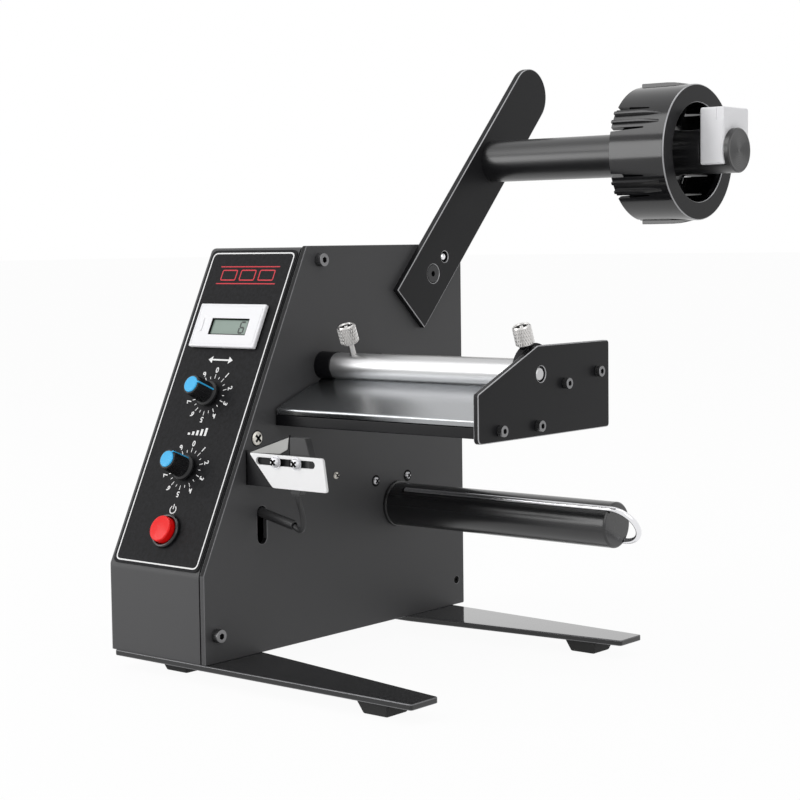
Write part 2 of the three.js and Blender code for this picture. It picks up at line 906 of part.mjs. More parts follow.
function hubRetainer() {
  const foot = -shaftRadius + notchShelf + gap;
  const shape = roundedOutline([
    [retainerShift - retainerDeep / 2, foot],
    [retainerShift + retainerDeep / 2, foot],
    [retainerShift + retainerDeep / 2, foot + retainerTall],
    [retainerShift - retainerDeep / 2, foot + retainerTall],
  ], 2 * gap);
  return sheetX(shape, notchStart + gap, notchEnd - notchStart - 2 * gap, 2);
}

// End plate, rods, bar and label plate
const endScrewPlaces = [
  [frontRodY, frontRodZ],
  [rearRodY, rearRodZ],
  [supportFrontY, supportZ],
  [supportRearY, supportZ],
];
function endPlate() {
  const shape = roundedOutline([
    [endPlateFront, endPlateBottom],
    [endPlateRear, endPlateBottom],
    [endPlateRear, endPlateTop],
    [endPlateSlantTop, endPlateTop],
    [endPlateFront, endPlateSlantFoot],
  ], endPlateCorner);
  shape.holes.push(roundHole(barY, barZ, barWindow));
  for (const [y, z] of endScrewPlaces) shape.holes.push(roundHole(y, z, m3Shank + gap));
  return sheetX(shape, labelWidth, endPlateThick, 4);
}
function spacerRod() {
  return latheX([
    [0, 0],
    [rodRadius, 0],
    [rodRadius, labelWidth],
    [m3Shank + gap, labelWidth],
    [m3Shank + gap, labelWidth - screwDeep - gap],
    [0, labelWidth - screwDeep - gap],
  ], smallSides);
}
function labelBar() {
  const pinRadius = barWindow - gap;
  const body = latheX([
    [0, 0],
    [barRadius, 0],
    [barRadius, labelWidth],
    [pinRadius, labelWidth],
    [pinRadius, labelWidth + endPlateThick / 2],
    [pinRadius / 2, labelWidth + endPlateThick - gap],
    [0, labelWidth + endPlateThick - gap],
  ]);
  const hole = roundZ(thumbStemRadius + gap, 0, barRadius + cutOver, screwSides);
  hole.rotateX(thumbLean);
  hole.translate(leftThumbX, 0, 0);
  return cut(body, hole);
}
function labelPlate() {
  const shape = new THREE.Shape();
  shape.moveTo(0, 0);
  shape.lineTo(0, -labelPlateLip);
  shape.lineTo(labelPlateThick, -labelPlateLip);
  shape.lineTo(labelPlateThick, -labelPlateThick);
  shape.lineTo(labelPlateLong, -labelPlateThick);
  shape.lineTo(labelPlateLong, 0);
  shape.closePath();
  return sheetX(shape, labelPlateEnd, labelWidth - 2 * labelPlateEnd);
}
function plateSupport() {
  const rise = Math.tan(labelPlateAngle);
  const drop = (labelPlateThick + gap) / Math.cos(labelPlateAngle);
  const webDrop = supportWeb / Math.cos(labelPlateAngle);
  const topAt = (y) => labelPlateFrontZ + (y - labelPlateFrontY) * rise - drop;
  const bottom = supportZ - supportBelow;
  const front = supportFrontY - supportLeg / 2;
  const frontIn = supportFrontY + supportLeg / 2;
  const rearIn = supportRearY - supportLeg / 2;
  const rear = supportRearY + supportLeg / 2;
  const lipBottom = labelPlateFrontZ - labelPlateLip * Math.cos(labelPlateAngle) - gap;
  const lipRear = labelPlateFrontY + labelPlateThick * Math.cos(labelPlateAngle)
    + labelPlateLip * Math.sin(labelPlateAngle) + gap;
  const shape = outline([
    [front, bottom],
    [frontIn, bottom],
    [frontIn, topAt(frontIn) - webDrop],
    [rearIn, topAt(rearIn) - webDrop],
    [rearIn, bottom],
    [rear, bottom],
    [rear, topAt(rear) - webDrop],
    [lipRear, topAt(lipRear)],
    [lipRear, lipBottom],
    [front, lipBottom],
  ]);
  const channel = sheetX(shape, 0, labelWidth);
  const holes = [supportFrontY, supportRearY].map((y) => roundX(m3Shank + gap,
    labelWidth - screwDeep - gap, labelWidth + cutOver, y, supportZ, screwSides));
  return cut(channel, ...holes);
}

// Thumb screws point along local Z; the axis of the bar is at local Z = 0
function thumbScrew(stemFoot, headFoot) {
  const profile = [
    [0, stemFoot],
    [thumbStemRadius, stemFoot],
    [thumbStemRadius, headFoot],
    [thumbHeadRadius - thumbRim, headFoot],
    [thumbHeadRadius, headFoot + thumbRim],
    [thumbHeadRadius, headFoot + thumbHeadTall - thumbRim / 2],
    [thumbHeadRadius - thumbRim, headFoot + thumbHeadTall],
    [thumbHeadRadius - 2 * thumbRim, headFoot + thumbHeadTall - thumbRecess],
    [0, headFoot + thumbHeadTall - thumbRecess],
  ];
  const geometry = latheZ(profile, 2 * knurlCount);
  const position = geometry.attributes.position;
  for (let i = 0; i < position.count; i += 1) {
    const radius = Math.hypot(position.getX(i), position.getY(i));
    const turn = Math.round(Math.atan2(position.getY(i), position.getX(i)) * knurlCount / Math.PI);
    if (radius > thumbHeadRadius - thumbRim / 2 && turn % 2 !== 0) {
      const scale = 1 - knurlDeep / radius;
      position.setXY(i, position.getX(i) * scale, position.getY(i) * scale);
    }
  }
  return geometry;
}
function guideRing(start) {
  const ring = latheX([
    [barRadius + slideGap, start],
    [ringOuter, start],
    [ringOuter, start + ringThick],
    [barRadius + slideGap, start + ringThick],
    [barRadius + slideGap, start],
  ]);
  const below = block(3 * ringThick, 4 * ringOuter, 2 * ringOuter, start + ringThick / 2, labelPlateLong,
    -ringOuter + slideGap);
  below.rotateX(labelPlateAngle);
  below.translate(0, labelPlateFrontY - barY, labelPlateFrontZ - barZ);
  const hole = roundZ(thumbStemRadius + gap, 0, ringOuter + cutOver, screwSides);
  hole.rotateX(thumbLean);
  hole.translate(start + ringThick / 2, 0, 0);
  return cut(ring, below, hole);
}

// Rewind spindle, wire clip and drive
function grooveTool(angle) {
  const width = 2 * (clipRadius + gap);
  const long = spindleLong + 2 * cutOver;
  const groove = block(long, width, width, long / 2 + spindleFlangeThick, clipOffset + gap, 0);
  return turned(groove, angle);
}
function rewindSpindle() {
  const bore = driveShaftRadius + gap;
  const body = latheX([
    [0, spindleLong],
    [0, spindleBoreLong],
    [bore, spindleBoreLong],
    [bore, gap],
    [spindleFlange, gap],
    [spindleFlange, gap + spindleFlangeThick],
    [spindleRadius, gap + spindleFlangeThick],
    [spindleRadius, spindleLong - gap],
    [spindleRadius - gap, spindleLong],
    [0, spindleLong],
  ]);
  return cut(body, grooveTool(grooveAngle), grooveTool(grooveAngle + Math.PI));
}
class BendCurve extends THREE.Curve {
  constructor(start, radius, angle) {
    super();
    this.start = start;
    this.radius = radius;
    this.angle = angle;
  }

  getPoint(t, target = new THREE.Vector3()) {
    const across = this.radius * Math.cos(t * Math.PI);
    return target.set(this.start + this.radius * Math.sin(t * Math.PI), across * Math.cos(this.angle),
      across * Math.sin(this.angle));
  }
}
function spindleClip() {
  const legs = [1, -1].map((side) => roundX(clipRadius, clipStart, clipBendStart,
    side * clipOffset * Math.cos(grooveAngle), side * clipOffset * Math.sin(grooveAngle), 12));
  const bend = tube(new BendCurve(clipBendStart - gap, clipOffset, grooveAngle), clipRadius, 14, 12);
  return join(...legs, bend);
}
function driveShaft() {
  return roundX(driveShaftRadius, -driveShaftInner, spindleBoreLong - gap, 0, 0, smallSides);
}
function bearingBlock() {
  const bore = driveShaftRadius + gap;
  return latheX([
    [bore, -plateThick - bearingDeep],
    [bearingBodyRadius, -plateThick - bearingDeep],
    [bearingBodyRadius, -plateThick],
    [bearingBossRadius, -plateThick],
    [bearingBossRadius, 0],
    [bore, 0],
    [bore, -plateThick - bearingDeep],
  ]);
}
function pulley(radius, bore) {
  const near = -pulleyStart;
  const far = near - pulleyWide;
  return latheX([
    [bore, far],
    [radius + pulleyRim, far],
    [radius + pulleyRim, far + pulleyFlange],
    [radius, far + pulleyFlange],
    [radius, near - pulleyFlange],
    [radius + pulleyRim, near - pulleyFlange],
    [radius + pulleyRim, near],
    [bore, near],
    [bore, far],
  ]);
}
function beltPath(grow) {
  const span = new THREE.Vector2(motorY - spindleY, motorZ - spindleZ);
  const big = spindlePulleyRadius + grow;
  const small = motorPulleyRadius + grow;
  const lean = Math.acos((big - small) / span.length());
  const toward = span.angle();
  const path = new THREE.Path();
  path.absarc(spindleY, spindleZ, big, toward + lean, toward - lean + 2 * Math.PI, false);
  path.absarc(motorY, motorZ, small, toward - lean, toward + lean, false);
  path.closePath();
  return path;
}
function driveBelt() {
  const shape = new THREE.Shape(beltPath(gap + beltThick).getPoints(16));
  shape.holes.push(new THREE.Path(beltPath(gap).getPoints(16).reverse()));
  const inset = pulleyFlange + gap;
  return sheetX(shape, -pulleyStart - pulleyWide + inset, pulleyWide - 2 * inset);
}
const motorFace = -pulleyStart - pulleyWide - gap - motorBracketThick - gap;
function gearMotor() {
  const boss = motorShaftRadius + motorBracketThick;
  return latheX([
    [0, motorFace - gearboxLong - motorCanLong],
    [motorCanRadius, motorFace - gearboxLong - motorCanLong],
    [motorCanRadius, motorFace - gearboxLong],
    [gearboxRadius, motorFace - gearboxLong],
    [gearboxRadius, motorFace],
    [boss, motorFace],
    [boss, motorFace + motorBracketThick],
    [0, motorFace + motorBracketThick],
  ]);
}
function motorBracket() {
  const web = sheetX(outline([
    [motorY - motorBracketHalf, motorZ - motorBracketHalf],
    [motorY + motorBracketHalf, motorZ - motorBracketHalf],
    [motorY + motorBracketHalf, motorZ + motorBracketHalf],
    [motorY - motorBracketHalf, motorZ + motorBracketHalf],
  ]), motorFace, motorBracketThick);
  const hole = roundX(motorShaftRadius + motorBracketThick + gap, motorFace - cutOver,
    motorFace + motorBracketThick + cutOver, motorY, motorZ, smallSides);
  const legLong = -plateThick - motorFace;
  const walls = [-1, 1].map((side) => block(legLong, 2 * motorBracketHalf, motorBracketThick,
    motorFace + legLong / 2, motorY, motorZ + side * (motorBracketHalf - motorBracketThick / 2)));
  const feet = [-1, 1].map((side) => block(motorBracketThick, 2 * motorBracketHalf, motorBracketFoot,
    -plateThick - motorBracketThick / 2, motorY, motorZ + side * (motorBracketHalf + motorBracketFoot / 2
      - motorBracketThick)));
  return cut(join(web, ...walls, ...feet), hole);
}
function motorPulley() {
  const near = -pulleyStart;
  const far = near - pulleyWide;
  const radius = motorPulleyRadius;
  return latheX([
    [0, far],
    [radius + pulleyRim, far],
    [radius + pulleyRim, far + pulleyFlange],
    [radius, far + pulleyFlange],
    [radius, near - pulleyFlange],
    [radius + pulleyRim, near - pulleyFlange],
    [radius + pulleyRim, near],
    [0, near],
  ]);
}

// Sensor group
function sensorBracket() {
  const right = bracketPeakX;
  const face = new THREE.Shape([
    new THREE.Vector2(0, bracketBottom),
    new THREE.Vector2(right, bracketBottom),
    new THREE.Vector2(right, bracketPeak),
    new THREE.Vector2(gateLeft, bracketShoulder),
    new THREE.Vector2(0, bracketShoulder),
  ]);
  const plate = new THREE.ExtrudeGeometry(face, { depth: bracketThick, bevelEnabled: false });
  plate.rotateX(Math.PI / 2);
  plate.translate(0, bracketY + bracketThick, 0);
  const foot = block(bracketThick, bracketFootLong, bracketShoulder - bracketBottom, bracketThick / 2,
    bracketY + bracketFootLong / 2, (bracketShoulder + bracketBottom) / 2);
  const hole = roundZ(m3Shank + gap, -cutOver, bracketThick + cutOver, screwSides);
  hole.rotateX(Math.PI / 2);
  hole.translate(gateScrewLeft, bracketY + bracketThick, gateScrewZ);
  return cut(join(plate, foot), hole);
}
function sensorHead() {
  const left = bracketPeakX;
  const shape = outline([
    [left, sensorBottom],
    [left + sensorFootWide, sensorBottom],
    [left + sensorWide, sensorWaist],
    [left + sensorWide, sensorShoulder],
    [left + sensorTopWide, sensorTop],
    [left, sensorTop],
  ]);
  const body = new THREE.ExtrudeGeometry(shape, { depth: sensorDeep, bevelEnabled: false });
  body.rotateX(Math.PI / 2);
  body.translate(0, bracketY + sensorDeep, 0);
  const hole = roundZ(m3Shank + gap, -screwDeep, cutOver, screwSides);
  hole.rotateX(Math.PI / 2);
  hole.translate(gateScrewRight, bracketY, gateScrewZ);
  const screwHole = roundZ(m3Shank + gap, -cutOver, sensorDeep - gap, screwSides);
  screwHole.rotateX(-Math.PI / 2);
  screwHole.translate(gateScrewRight, bracketY, gateScrewZ);
  return cut(body, hole, screwHole);
}
function gatePlate() {
  const shape = roundedOutline([
    [gateBottomLeft, bracketBottom],
    [gateBottomRight, bracketBottom],
    [gateTopRight, bracketShoulder],
    [gateLeft, bracketShoulder],
  ], gateCorner / 2);
  const slot = new THREE.Path();
  slot.absarc(gateSlotLeft + gateSlotHalf, gateScrewZ, gateSlotHalf, Math.PI / 2, 3 * Math.PI / 2, false);
  slot.absarc(gateSlotRight - gateSlotHalf, gateScrewZ, gateSlotHalf, -Math.PI / 2, Math.PI / 2, false);
  shape.holes.push(slot);
  const geometry = new THREE.ExtrudeGeometry(shape, {
    depth: gatePlateThick,
    bevelEnabled: false,
    curveSegments: 6,
  });
  geometry.rotateX(Math.PI / 2);
  geometry.translate(0, bracketY - gap, 0);
  return geometry;
}
const sleeveZ = slotTopZ - slotHalf;
function leadSleeve() {
  const geometry = latheX([
    [sleeveRadius - sleeveWall, sleeveOut - sleeveLong],
    [sleeveRadius, sleeveOut - sleeveLong],
    [sleeveRadius, sleeveOut],
    [sleeveRadius - sleeveWall, sleeveOut],
    [sleeveRadius - sleeveWall, sleeveOut - sleeveLong],
  ], smallSides);
  geometry.rotateY(sleeveDroop);
  return geometry;
}
function sensorLead() {
  const along = (x) => new THREE.Vector3(x, 0, -x * Math.tan(sleeveDroop));
  const end = along(sleeveOut);
  const sensorFoot = sensorBottom - gap - sleeveZ;
  const sensorY = bracketY + sensorDeep / 2 - slotY;
  const sensorX = bracketPeakX + sensorFootWide / 2;
  const bend = 2 * sleeveRadius;
  const path = new THREE.CatmullRomCurve3([
    along(sleeveOut - sleeveLong - bend),
    along(0),
    along(sleeveOut - bend),
    end,
    new THREE.Vector3(end.x + leadLoop / 2, -leadRadius, end.z - leadLoopDrop),
    new THREE.Vector3(end.x + leadLoop, -2 * leadRadius, end.z + leadRadius),
    new THREE.Vector3(sensorX - leadRadius, sensorY / 2, (end.z + sensorFoot) / 2),
    new THREE.Vector3(sensorX, sensorY, sensorFoot - bend / 2),
    new THREE.Vector3(sensorX, sensorY, sensorFoot),
  ], false, 'centripetal');
  return tube(path, leadRadius, 30, 8);
}

// Electrics
function circuitBoard() {
  const left = -housingWidth + coverThick;
  const face = left + boardStandoff;
  const board = block(boardThick, boardDeep, boardTall, face + boardThick / 2, 0, 0);
  const posts = [];
  for (const a of [-1, 1]) {
    for (const b of [-1, 1]) {
      posts.push(roundX(boardStandoffRadius, left, face + boardThick / 2,
        a * (boardDeep / 2 - 2 * boardStandoffRadius), b * (boardTall / 2 - 2 * boardStandoffRadius),
        screwSides));
    }
  }
  const chip = block(chipTall, chipWide, chipWide, face + chipTall / 2 + boardThick / 2, boardDeep / 4, 0);
  const capacitor = roundX(capacitorRadius, face + boardThick / 2, face + capacitorTall,
    -boardDeep / 4, boardTall / 5, smallSides);
  return join(board, ...posts, chip, capacitor);
}
function powerInlet() {
  const outside = housingDepth - coverInset;
  const body = block(inletWide, inletDeep, inletTall, 0, outside + inletFlange - inletDeep / 2, 0);
  const flange = block(inletWide + 2 * inletRim, inletFlange, inletTall + 2 * inletRim, 0,
    outside + inletFlange / 2, 0);
  const hollow = block(inletWide - 2 * inletWall, inletHollow + cutOver, inletTall - 2 * inletWall, 0,
    outside + inletFlange + cutOver / 2 - inletHollow / 2, 0);
  const pinY = outside + inletFlange - (inletHollow + inletWall) / 2;
  const pins = [-1, 0, 1].map((side) => block(inletPinThick, inletHollow, inletPinTall,
    side * (inletWide / 4), pinY, side === 0 ? inletPinRise : -inletPinRise));
  return join(cut(join(body, flange), hollow), ...pins);
}

// Assembly: housing and feet
place('side_plate', sidePlate(), charcoalPaint);
place('housing_cover', housingCover(), charcoalPaint);
place('base_plate', basePlate(), charcoalPaint);
place('front_foot_bar', frontBar(), glossBlack);
place('rear_foot_bar', rearBar(), glossBlack);
for (const [name, x, rear] of [
  ['front_left', footFrontLeftPlace, false],
  ['front_right', footRightPlace, false],
  ['rear_left', footRearLeftPlace, true],
  ['rear_right', footRightPlace, true],
]) {
  place(`${name}_foot`, rubberFoot(), rubberBlack, machine, x, barMiddle(x, rear), -barThick);
}
coverScrewPlaces.forEach(([y, z], i) => {
  const screw = i === 1 ? setScrew(screwDeep) : capScrew(screwDeep, m4Cap);
  place(`cover_screw_${i + 1}`, screw, satinBlackMetal, machine, 0, y, z);
});

// Assembly: control panel
place('panel_overlay', panelOverlay(), overlayBlack, panelFrame);
place('counter_body', counterBody(), whitePlastic, panelFrame, -counterMiddle, counterPlace);
place('counter_display', counterDisplay(), displayGreen, panelFrame, -counterMiddle, counterPlace);
for (const [name, along, turn] of [
  ['length', lengthKnobPlace, lengthKnobTurn],
  ['speed', speedKnobPlace, speedKnobTurn],
]) {
  place(`${name}_potentiometer`, potentiometer(), zincSteel, panelFrame, -panelMiddle, along);
  place(`${name}_knob`, knob(), glossBlack, panelFrame, -panelMiddle, along).rotation.z = turn;
  place(`${name}_knob_cap`, knobCap(), capBlue, panelFrame, -panelMiddle, along);
}
place('button_housing', buttonHousing(), glossBlack, panelFrame, -buttonMiddle, buttonPlace);
place('power_button', powerButton(), buttonRed, panelFrame, -buttonMiddle, buttonPlace);

// Assembly: unwind arm
place('unwind_arm', unwindArm(), armBlack, armFrame);
place('arm_screw', countersunkScrew(armThick + screwDeep), satinBlackMetal, armFrame, armThick,
  armScrewAlong, armScrewAcross);
place('arm_pin', armPin(), chrome, armFrame, 0, armPinAlong, armPinAcross);
place('unwind_shaft', unwindShaft(), satinBlackMetal, armFrame, 0, armShaftAlong);
const [hubY, hubZ] = alongArm(armShaftAlong);
place('core_hub', coreHub(), glossBlack, machine, 0, hubY, hubZ);
place('hub_retainer', hubRetainer(), whitePlastic, machine, 0, hubY, hubZ);

// Assembly: label path
place('end_plate', endPlate(), armBlack);
endScrewPlaces.forEach(([y, z], i) => {
  place(`end_screw_${i + 1}`, capScrew(endPlateThick + screwDeep - gap, m3Cap), satinBlackMetal,
    machine, labelWidth + endPlateThick, y, z);
});
place('label_bar', labelBar(), chrome, machine, 0, barY, barZ);
place('front_rod', spacerRod(), zincSteel, machine, 0, frontRodY, frontRodZ);
place('rear_rod', spacerRod(), zincSteel, machine, 0, rearRodY, rearRodZ);
place('plate_support', plateSupport(), armBlack);
place('label_plate', labelPlate(), polishedSteel, labelPlateFrame);
const ringStart = labelWidth - ringEndGap - ringThick;
const thumbFrame = frame(0, barY, barZ, thumbLean);
place('left_thumb_screw', thumbScrew(barRadius - thumbSink, barRadius + thumbStemShown), brushedSteel,
  thumbFrame, leftThumbX);
place('guide_ring', guideRing(ringStart), armBlack, machine, 0, barY, barZ);
place('right_thumb_screw', thumbScrew(barRadius + slideGap, ringOuter + gap), brushedSteel, thumbFrame,
  ringStart + ringThick / 2);

// Assembly: rewind
place('rewind_spindle', rewindSpindle(), satinBlackMetal, machine, 0, spindleY, spindleZ);
place('spindle_clip', spindleClip(), chrome, machine, 0, spindleY, spindleZ);
place('drive_shaft', driveShaft(), zincSteel, machine, 0, spindleY, spindleZ);
place('bearing_block', bearingBlock(), zincSteel, machine, 0, spindleY, spindleZ);
place('spindle_pulley', pulley(spindlePulleyRadius, driveShaftRadius + gap), satinBlackMetal, machine,
  0, spindleY, spindleZ);
place('motor_pulley', motorPulley(), satinBlackMetal, machine, 0, motorY, motorZ);
place('drive_belt', driveBelt(), beltBlack);
place('gear_motor', gearMotor(), zincSteel, machine, 0, motorY, motorZ);
place('motor_bracket', motorBracket(), zincSteel);

// Assembly: sensor group
place('sensor_bracket', sensorBracket(), armBlack);
place('sensor_head', sensorHead(), armBlack);
place('gate_plate', gatePlate(), brushedSteel);
place('gate_screw_1', panScrewY(bracketThick + gatePlateThick + gap), brushedSteel, machine,
  gateScrewLeft, bracketY - gap - gatePlateThick, gateScrewZ);
place('gate_screw_2', panScrewY(sensorDeep / 2 + gatePlateThick + gap), brushedSteel, machine,
  gateScrewRight, bracketY - gap - gatePlateThick, gateScrewZ);
place('lead_sleeve', leadSleeve(), rubberBlack, machine, 0, slotY, sleeveZ);
place('sensor_lead', sensorLead(), rubberBlack, machine, 0, slotY, sleeveZ);

// Assembly: electrics
place('circuit_board', circuitBoard(), boardGreen, machine, 0, boardY, boardZ);
place('power_inlet', powerInlet(), glossBlack, machine, inletX, 0, inletZ);

// The origin goes to the middle of the footprint, at the bottom of the feet
machine.updateMatrixWorld(true);
const bounds = new THREE.Box3().setFromObject(machine, true);
const middle = bounds.getCenter(new THREE.Vector3());
machine.position.set(-middle.x, -middle.y, -bounds.min.z);

export default machine;
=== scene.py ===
"""Dresses the label dispenser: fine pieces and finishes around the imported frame.

Lengths are in millimetres and become metres where a mesh, a curve or a frame is made.
"""

import json
import math
from types import SimpleNamespace

import bmesh
import bpy
from bpy.props import FloatProperty, FloatVectorProperty, IntProperty, PointerProperty
from bpy.types import Operator, Panel, PropertyGroup
from mathutils import Matrix, Vector


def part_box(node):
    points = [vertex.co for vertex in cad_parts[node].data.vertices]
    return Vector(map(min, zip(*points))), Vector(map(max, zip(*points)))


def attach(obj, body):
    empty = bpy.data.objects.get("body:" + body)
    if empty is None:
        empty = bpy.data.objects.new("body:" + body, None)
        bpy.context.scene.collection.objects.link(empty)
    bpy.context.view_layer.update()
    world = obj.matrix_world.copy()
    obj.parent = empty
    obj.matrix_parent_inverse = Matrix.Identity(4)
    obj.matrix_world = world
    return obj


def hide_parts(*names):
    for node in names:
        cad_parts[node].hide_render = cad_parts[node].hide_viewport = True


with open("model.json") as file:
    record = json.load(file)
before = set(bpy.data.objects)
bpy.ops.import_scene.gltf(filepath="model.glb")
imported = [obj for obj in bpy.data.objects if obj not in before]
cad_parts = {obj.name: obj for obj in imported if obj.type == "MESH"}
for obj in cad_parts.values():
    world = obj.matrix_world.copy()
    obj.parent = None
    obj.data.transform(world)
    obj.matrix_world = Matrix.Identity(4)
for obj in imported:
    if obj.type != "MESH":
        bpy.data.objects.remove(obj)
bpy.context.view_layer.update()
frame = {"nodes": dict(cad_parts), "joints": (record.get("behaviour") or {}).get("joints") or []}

bl_info = {
    "name": "Label Dispenser",
    "version": (1, 0, 0),
    "blender": (4, 5, 0),
    "location": "3D View > Sidebar > Dispenser",
    "description": "Fine pieces and finishes of a table-top label dispenser",
    "category": "Object",
}

MM = 0.001
FULL_TURN = 2 * math.pi
# Sides of round pieces, from the hub down to a hex socket
HUB_SIDES, ROUND, FINE, MEDIUM, SMALL, HEX = 144, 96, 64, 48, 32, 6

# The outer face of the side plate, its front edge and its bottom meet here
PLATE_LOW, PLATE_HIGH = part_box("side_plate")
HOME = Vector((PLATE_HIGH.x, PLATE_LOW.y, PLATE_LOW.z))
JOINTS = {joint["name"]: joint for joint in frame["joints"]}

# Places that several pieces share: how far behind the front edge and above the bottom
REAR_SCREW = (206.2, 14.4)
ROD_PLACES = ((112.3, 141.5), (141, 145.8))
BAR_PLACE = (92, 147.2)
LABEL_PLACE = (53.2, 126.6)
LEAD_PLACE = (43, 73.3)
SENSOR_BACK = 31.5
GATE_SLOT_UP = 102.3
# Lengths that several pieces share
SLANT_FOOT = 46
PATH_WIDE = 140
END_THICK = 3
SEAM = 0.8
PLAY = 0.1
# On the panel: the counter's height, the middle line of the marks and the overlay's face
COUNTER_UP = 136
PANEL_MIDDLE = -36.5
OVERLAY_TOP = -0.1
DIAL_STEPS = 10

# Name, place in metres, size in metres and power of each lamp
LAMPS = (
    ("key", (-0.7, -1.1, 1.5), 1.0, 8.5),
    ("side", (-0.95, -1.2, 0.42), 0.7, 6.5),
    ("fill", (1.6, -0.6, 0.9), 1.2, 5.5),
    ("top", (0.1, 0.3, 1.9), 1.4, 7),
)
LAMP_TARGET = Vector((0, 0, 0.15))
SOFT_LIGHT = 0.45
FLOOR_SHARE = 0.95
FLOOR_REACH = 30000

# The camera of the photo: place from HOME, angles in degrees, focal length and picture in pixels
CAMERA_PLACE = (680.03, -662.17, 210.92)
CAMERA_TURN, CAMERA_TILT, CAMERA_ROLL = 39.72686, 4.67657, -0.71164
FOCAL_PIXELS, PICTURE_PIXELS = 1897.67, 800
FILM_WIDE = 36


def at(x, y, z):
    """A place in metres, given in millimetres from HOME."""
    return HOME + Vector((x, y, z)) * MM


def box_of(node):
    """The box of one of the frame's nodes, in millimetres from HOME."""
    return tuple((corner - HOME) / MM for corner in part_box(node))


def middle_of(node):
    """The middle of one of the frame's nodes, in metres."""
    low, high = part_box(node)
    return (low + high) / 2


def joint_place(name):
    """Where a joint turns, in metres."""
    return Vector(JOINTS[name]["pos_m"])


def basis(x_axis, y_axis, z_axis, origin=Vector((0, 0, 0))):
    """A matrix that turns local axes to the given ones and moves the origin."""
    turn = Matrix((x_axis, y_axis, z_axis)).transposed().to_4x4()
    return Matrix.Translation(origin) @ turn


def leaning(angle):
    """The directions along and off a surface that rises towards the rear by the angle."""
    return Vector((0, math.cos(angle), math.sin(angle))), Vector((0, -math.sin(angle), math.cos(angle)))


# Axes and frames that pieces are built in
ALONG_X, ALONG_Y, UP = Vector((1, 0, 0)), Vector((0, 1, 0)), Vector((0, 0, 1))
PANEL_OUT = Vector(JOINTS["length_turn"]["axis"]).normalized()
PANEL_UP = PANEL_OUT.cross(ALONG_X)
THUMB_OUT = Vector(JOINTS["left_thumb_turn"]["axis"]).normalized()
ARM_ALONG, ARM_OFF = leaning(math.radians(47.1))
LABEL_ANGLE = math.radians(21)
LABEL_ALONG, LABEL_OFF = leaning(LABEL_ANGLE)
HERE = Matrix.Identity(4)
HOME_FRAME = Matrix.Translation(HOME)
SECTION = basis(ALONG_Y, UP, ALONG_X)
PLATE_FRAME = basis(ALONG_Y, UP, ALONG_X, HOME)
PANEL_FRAME = basis(ALONG_X, PANEL_UP, PANEL_OUT, at(0, 0, SLANT_FOOT))
ARM_FRAME = basis(ARM_ALONG, ARM_OFF, ALONG_X, at(0, 162.4, 174.8))
LABEL_FRAME = basis(ALONG_X, LABEL_ALONG, LABEL_OFF, at(0, *LABEL_PLACE))


def axis_frame(origin, axis, side=None):
    """A frame whose local Z runs along the axis, with local X near the side direction."""
    axis = axis.normalized()
    side = side or (UP if abs(axis.z) < 0.9 else ALONG_X)
    side = (side - axis * side.dot(axis)).normalized()
    return basis(side, axis.cross(side), axis, origin)


def roller_frame(joint, side=None):
    """A frame that starts at the side plate, with local Z along a roller's axis."""
    place = joint_place(joint)
    return axis_frame(Vector((HOME.x, place.y, place.z)), ALONG_X, side)


def upright(origin):
    """A frame that faces the front: local X to the right and local Y up."""
    return basis(ALONG_X, UP, ALONG_X.cross(UP), origin)


def moved(matrix, x, y, z=0):
    """The frame moved along its own axes, in millimetres."""
    return matrix @ Matrix.Translation(Vector((x, y, z)) * MM)


def on_panel(point):
    """Panel coordinates, in millimetres, of a point in metres."""
    return (PANEL_FRAME.inverted() @ point) / MM


# Sizes and colours a user would change


def length(name, description, millimetres):
    return FloatProperty(name=name, description=description, default=millimetres * MM, unit="LENGTH")


def paint(name, description, colour):
    return FloatVectorProperty(name=name, description=description, default=colour, subtype="COLOR",
                               size=3, min=0.0, max=1.0)


class DispenserColours(PropertyGroup):
    """Colours of the finishes."""

    housing: paint("Housing", "Textured charcoal paint of the housing", (0.052, 0.052, 0.054))
    overlay: paint("Overlay", "Black film on the control panel", (0.008, 0.008, 0.009))
    print_white: paint("Print", "White print on the panel", (0.80, 0.80, 0.80))
    print_red: paint("Red print", "Red print on the panel", (0.55, 0.015, 0.03))
    arm: paint("Arm", "Satin black paint of the arm", (0.011, 0.011, 0.012))
    black_paint: paint("End plate", "Black paint of the end plate and brackets", (0.005, 0.005, 0.006))
    gloss_black: paint("Gloss black", "Moulded black plastic", (0.008, 0.008, 0.009))
    foot_bar: paint("Foot bars", "Gloss black paint of the foot bars", (0.010, 0.010, 0.011))
    anodised: paint("Anodised", "Black anodised rollers", (0.010, 0.010, 0.011))
    blue: paint("Blue", "Caps and pointers of the knobs", (0.035, 0.42, 0.78))
    red: paint("Red", "Push button", (0.80, 0.004, 0.004))
    display: paint("Display", "Liquid crystal window", (0.24, 0.31, 0.27))


class HousingSizes(PropertyGroup):
    """Sizes of the housing and its feet."""

    depth: length("Depth", "Housing depth", 213)
    height: length("Height", "Housing height", 211)
    slant_foot: length("Slant foot", "Height at which the slanted panel starts", SLANT_FOOT)
    slant_top: length("Slant top", "Depth at which the slanted panel ends", 80.5)
    sheet: length("Sheet", "Thickness of the cover sheet", 1.2)
    bend: length("Bend", "Outer radius of the folded edges", 2.2)
    edge: length("Edge", "Rounding of cut edges", 0.35)


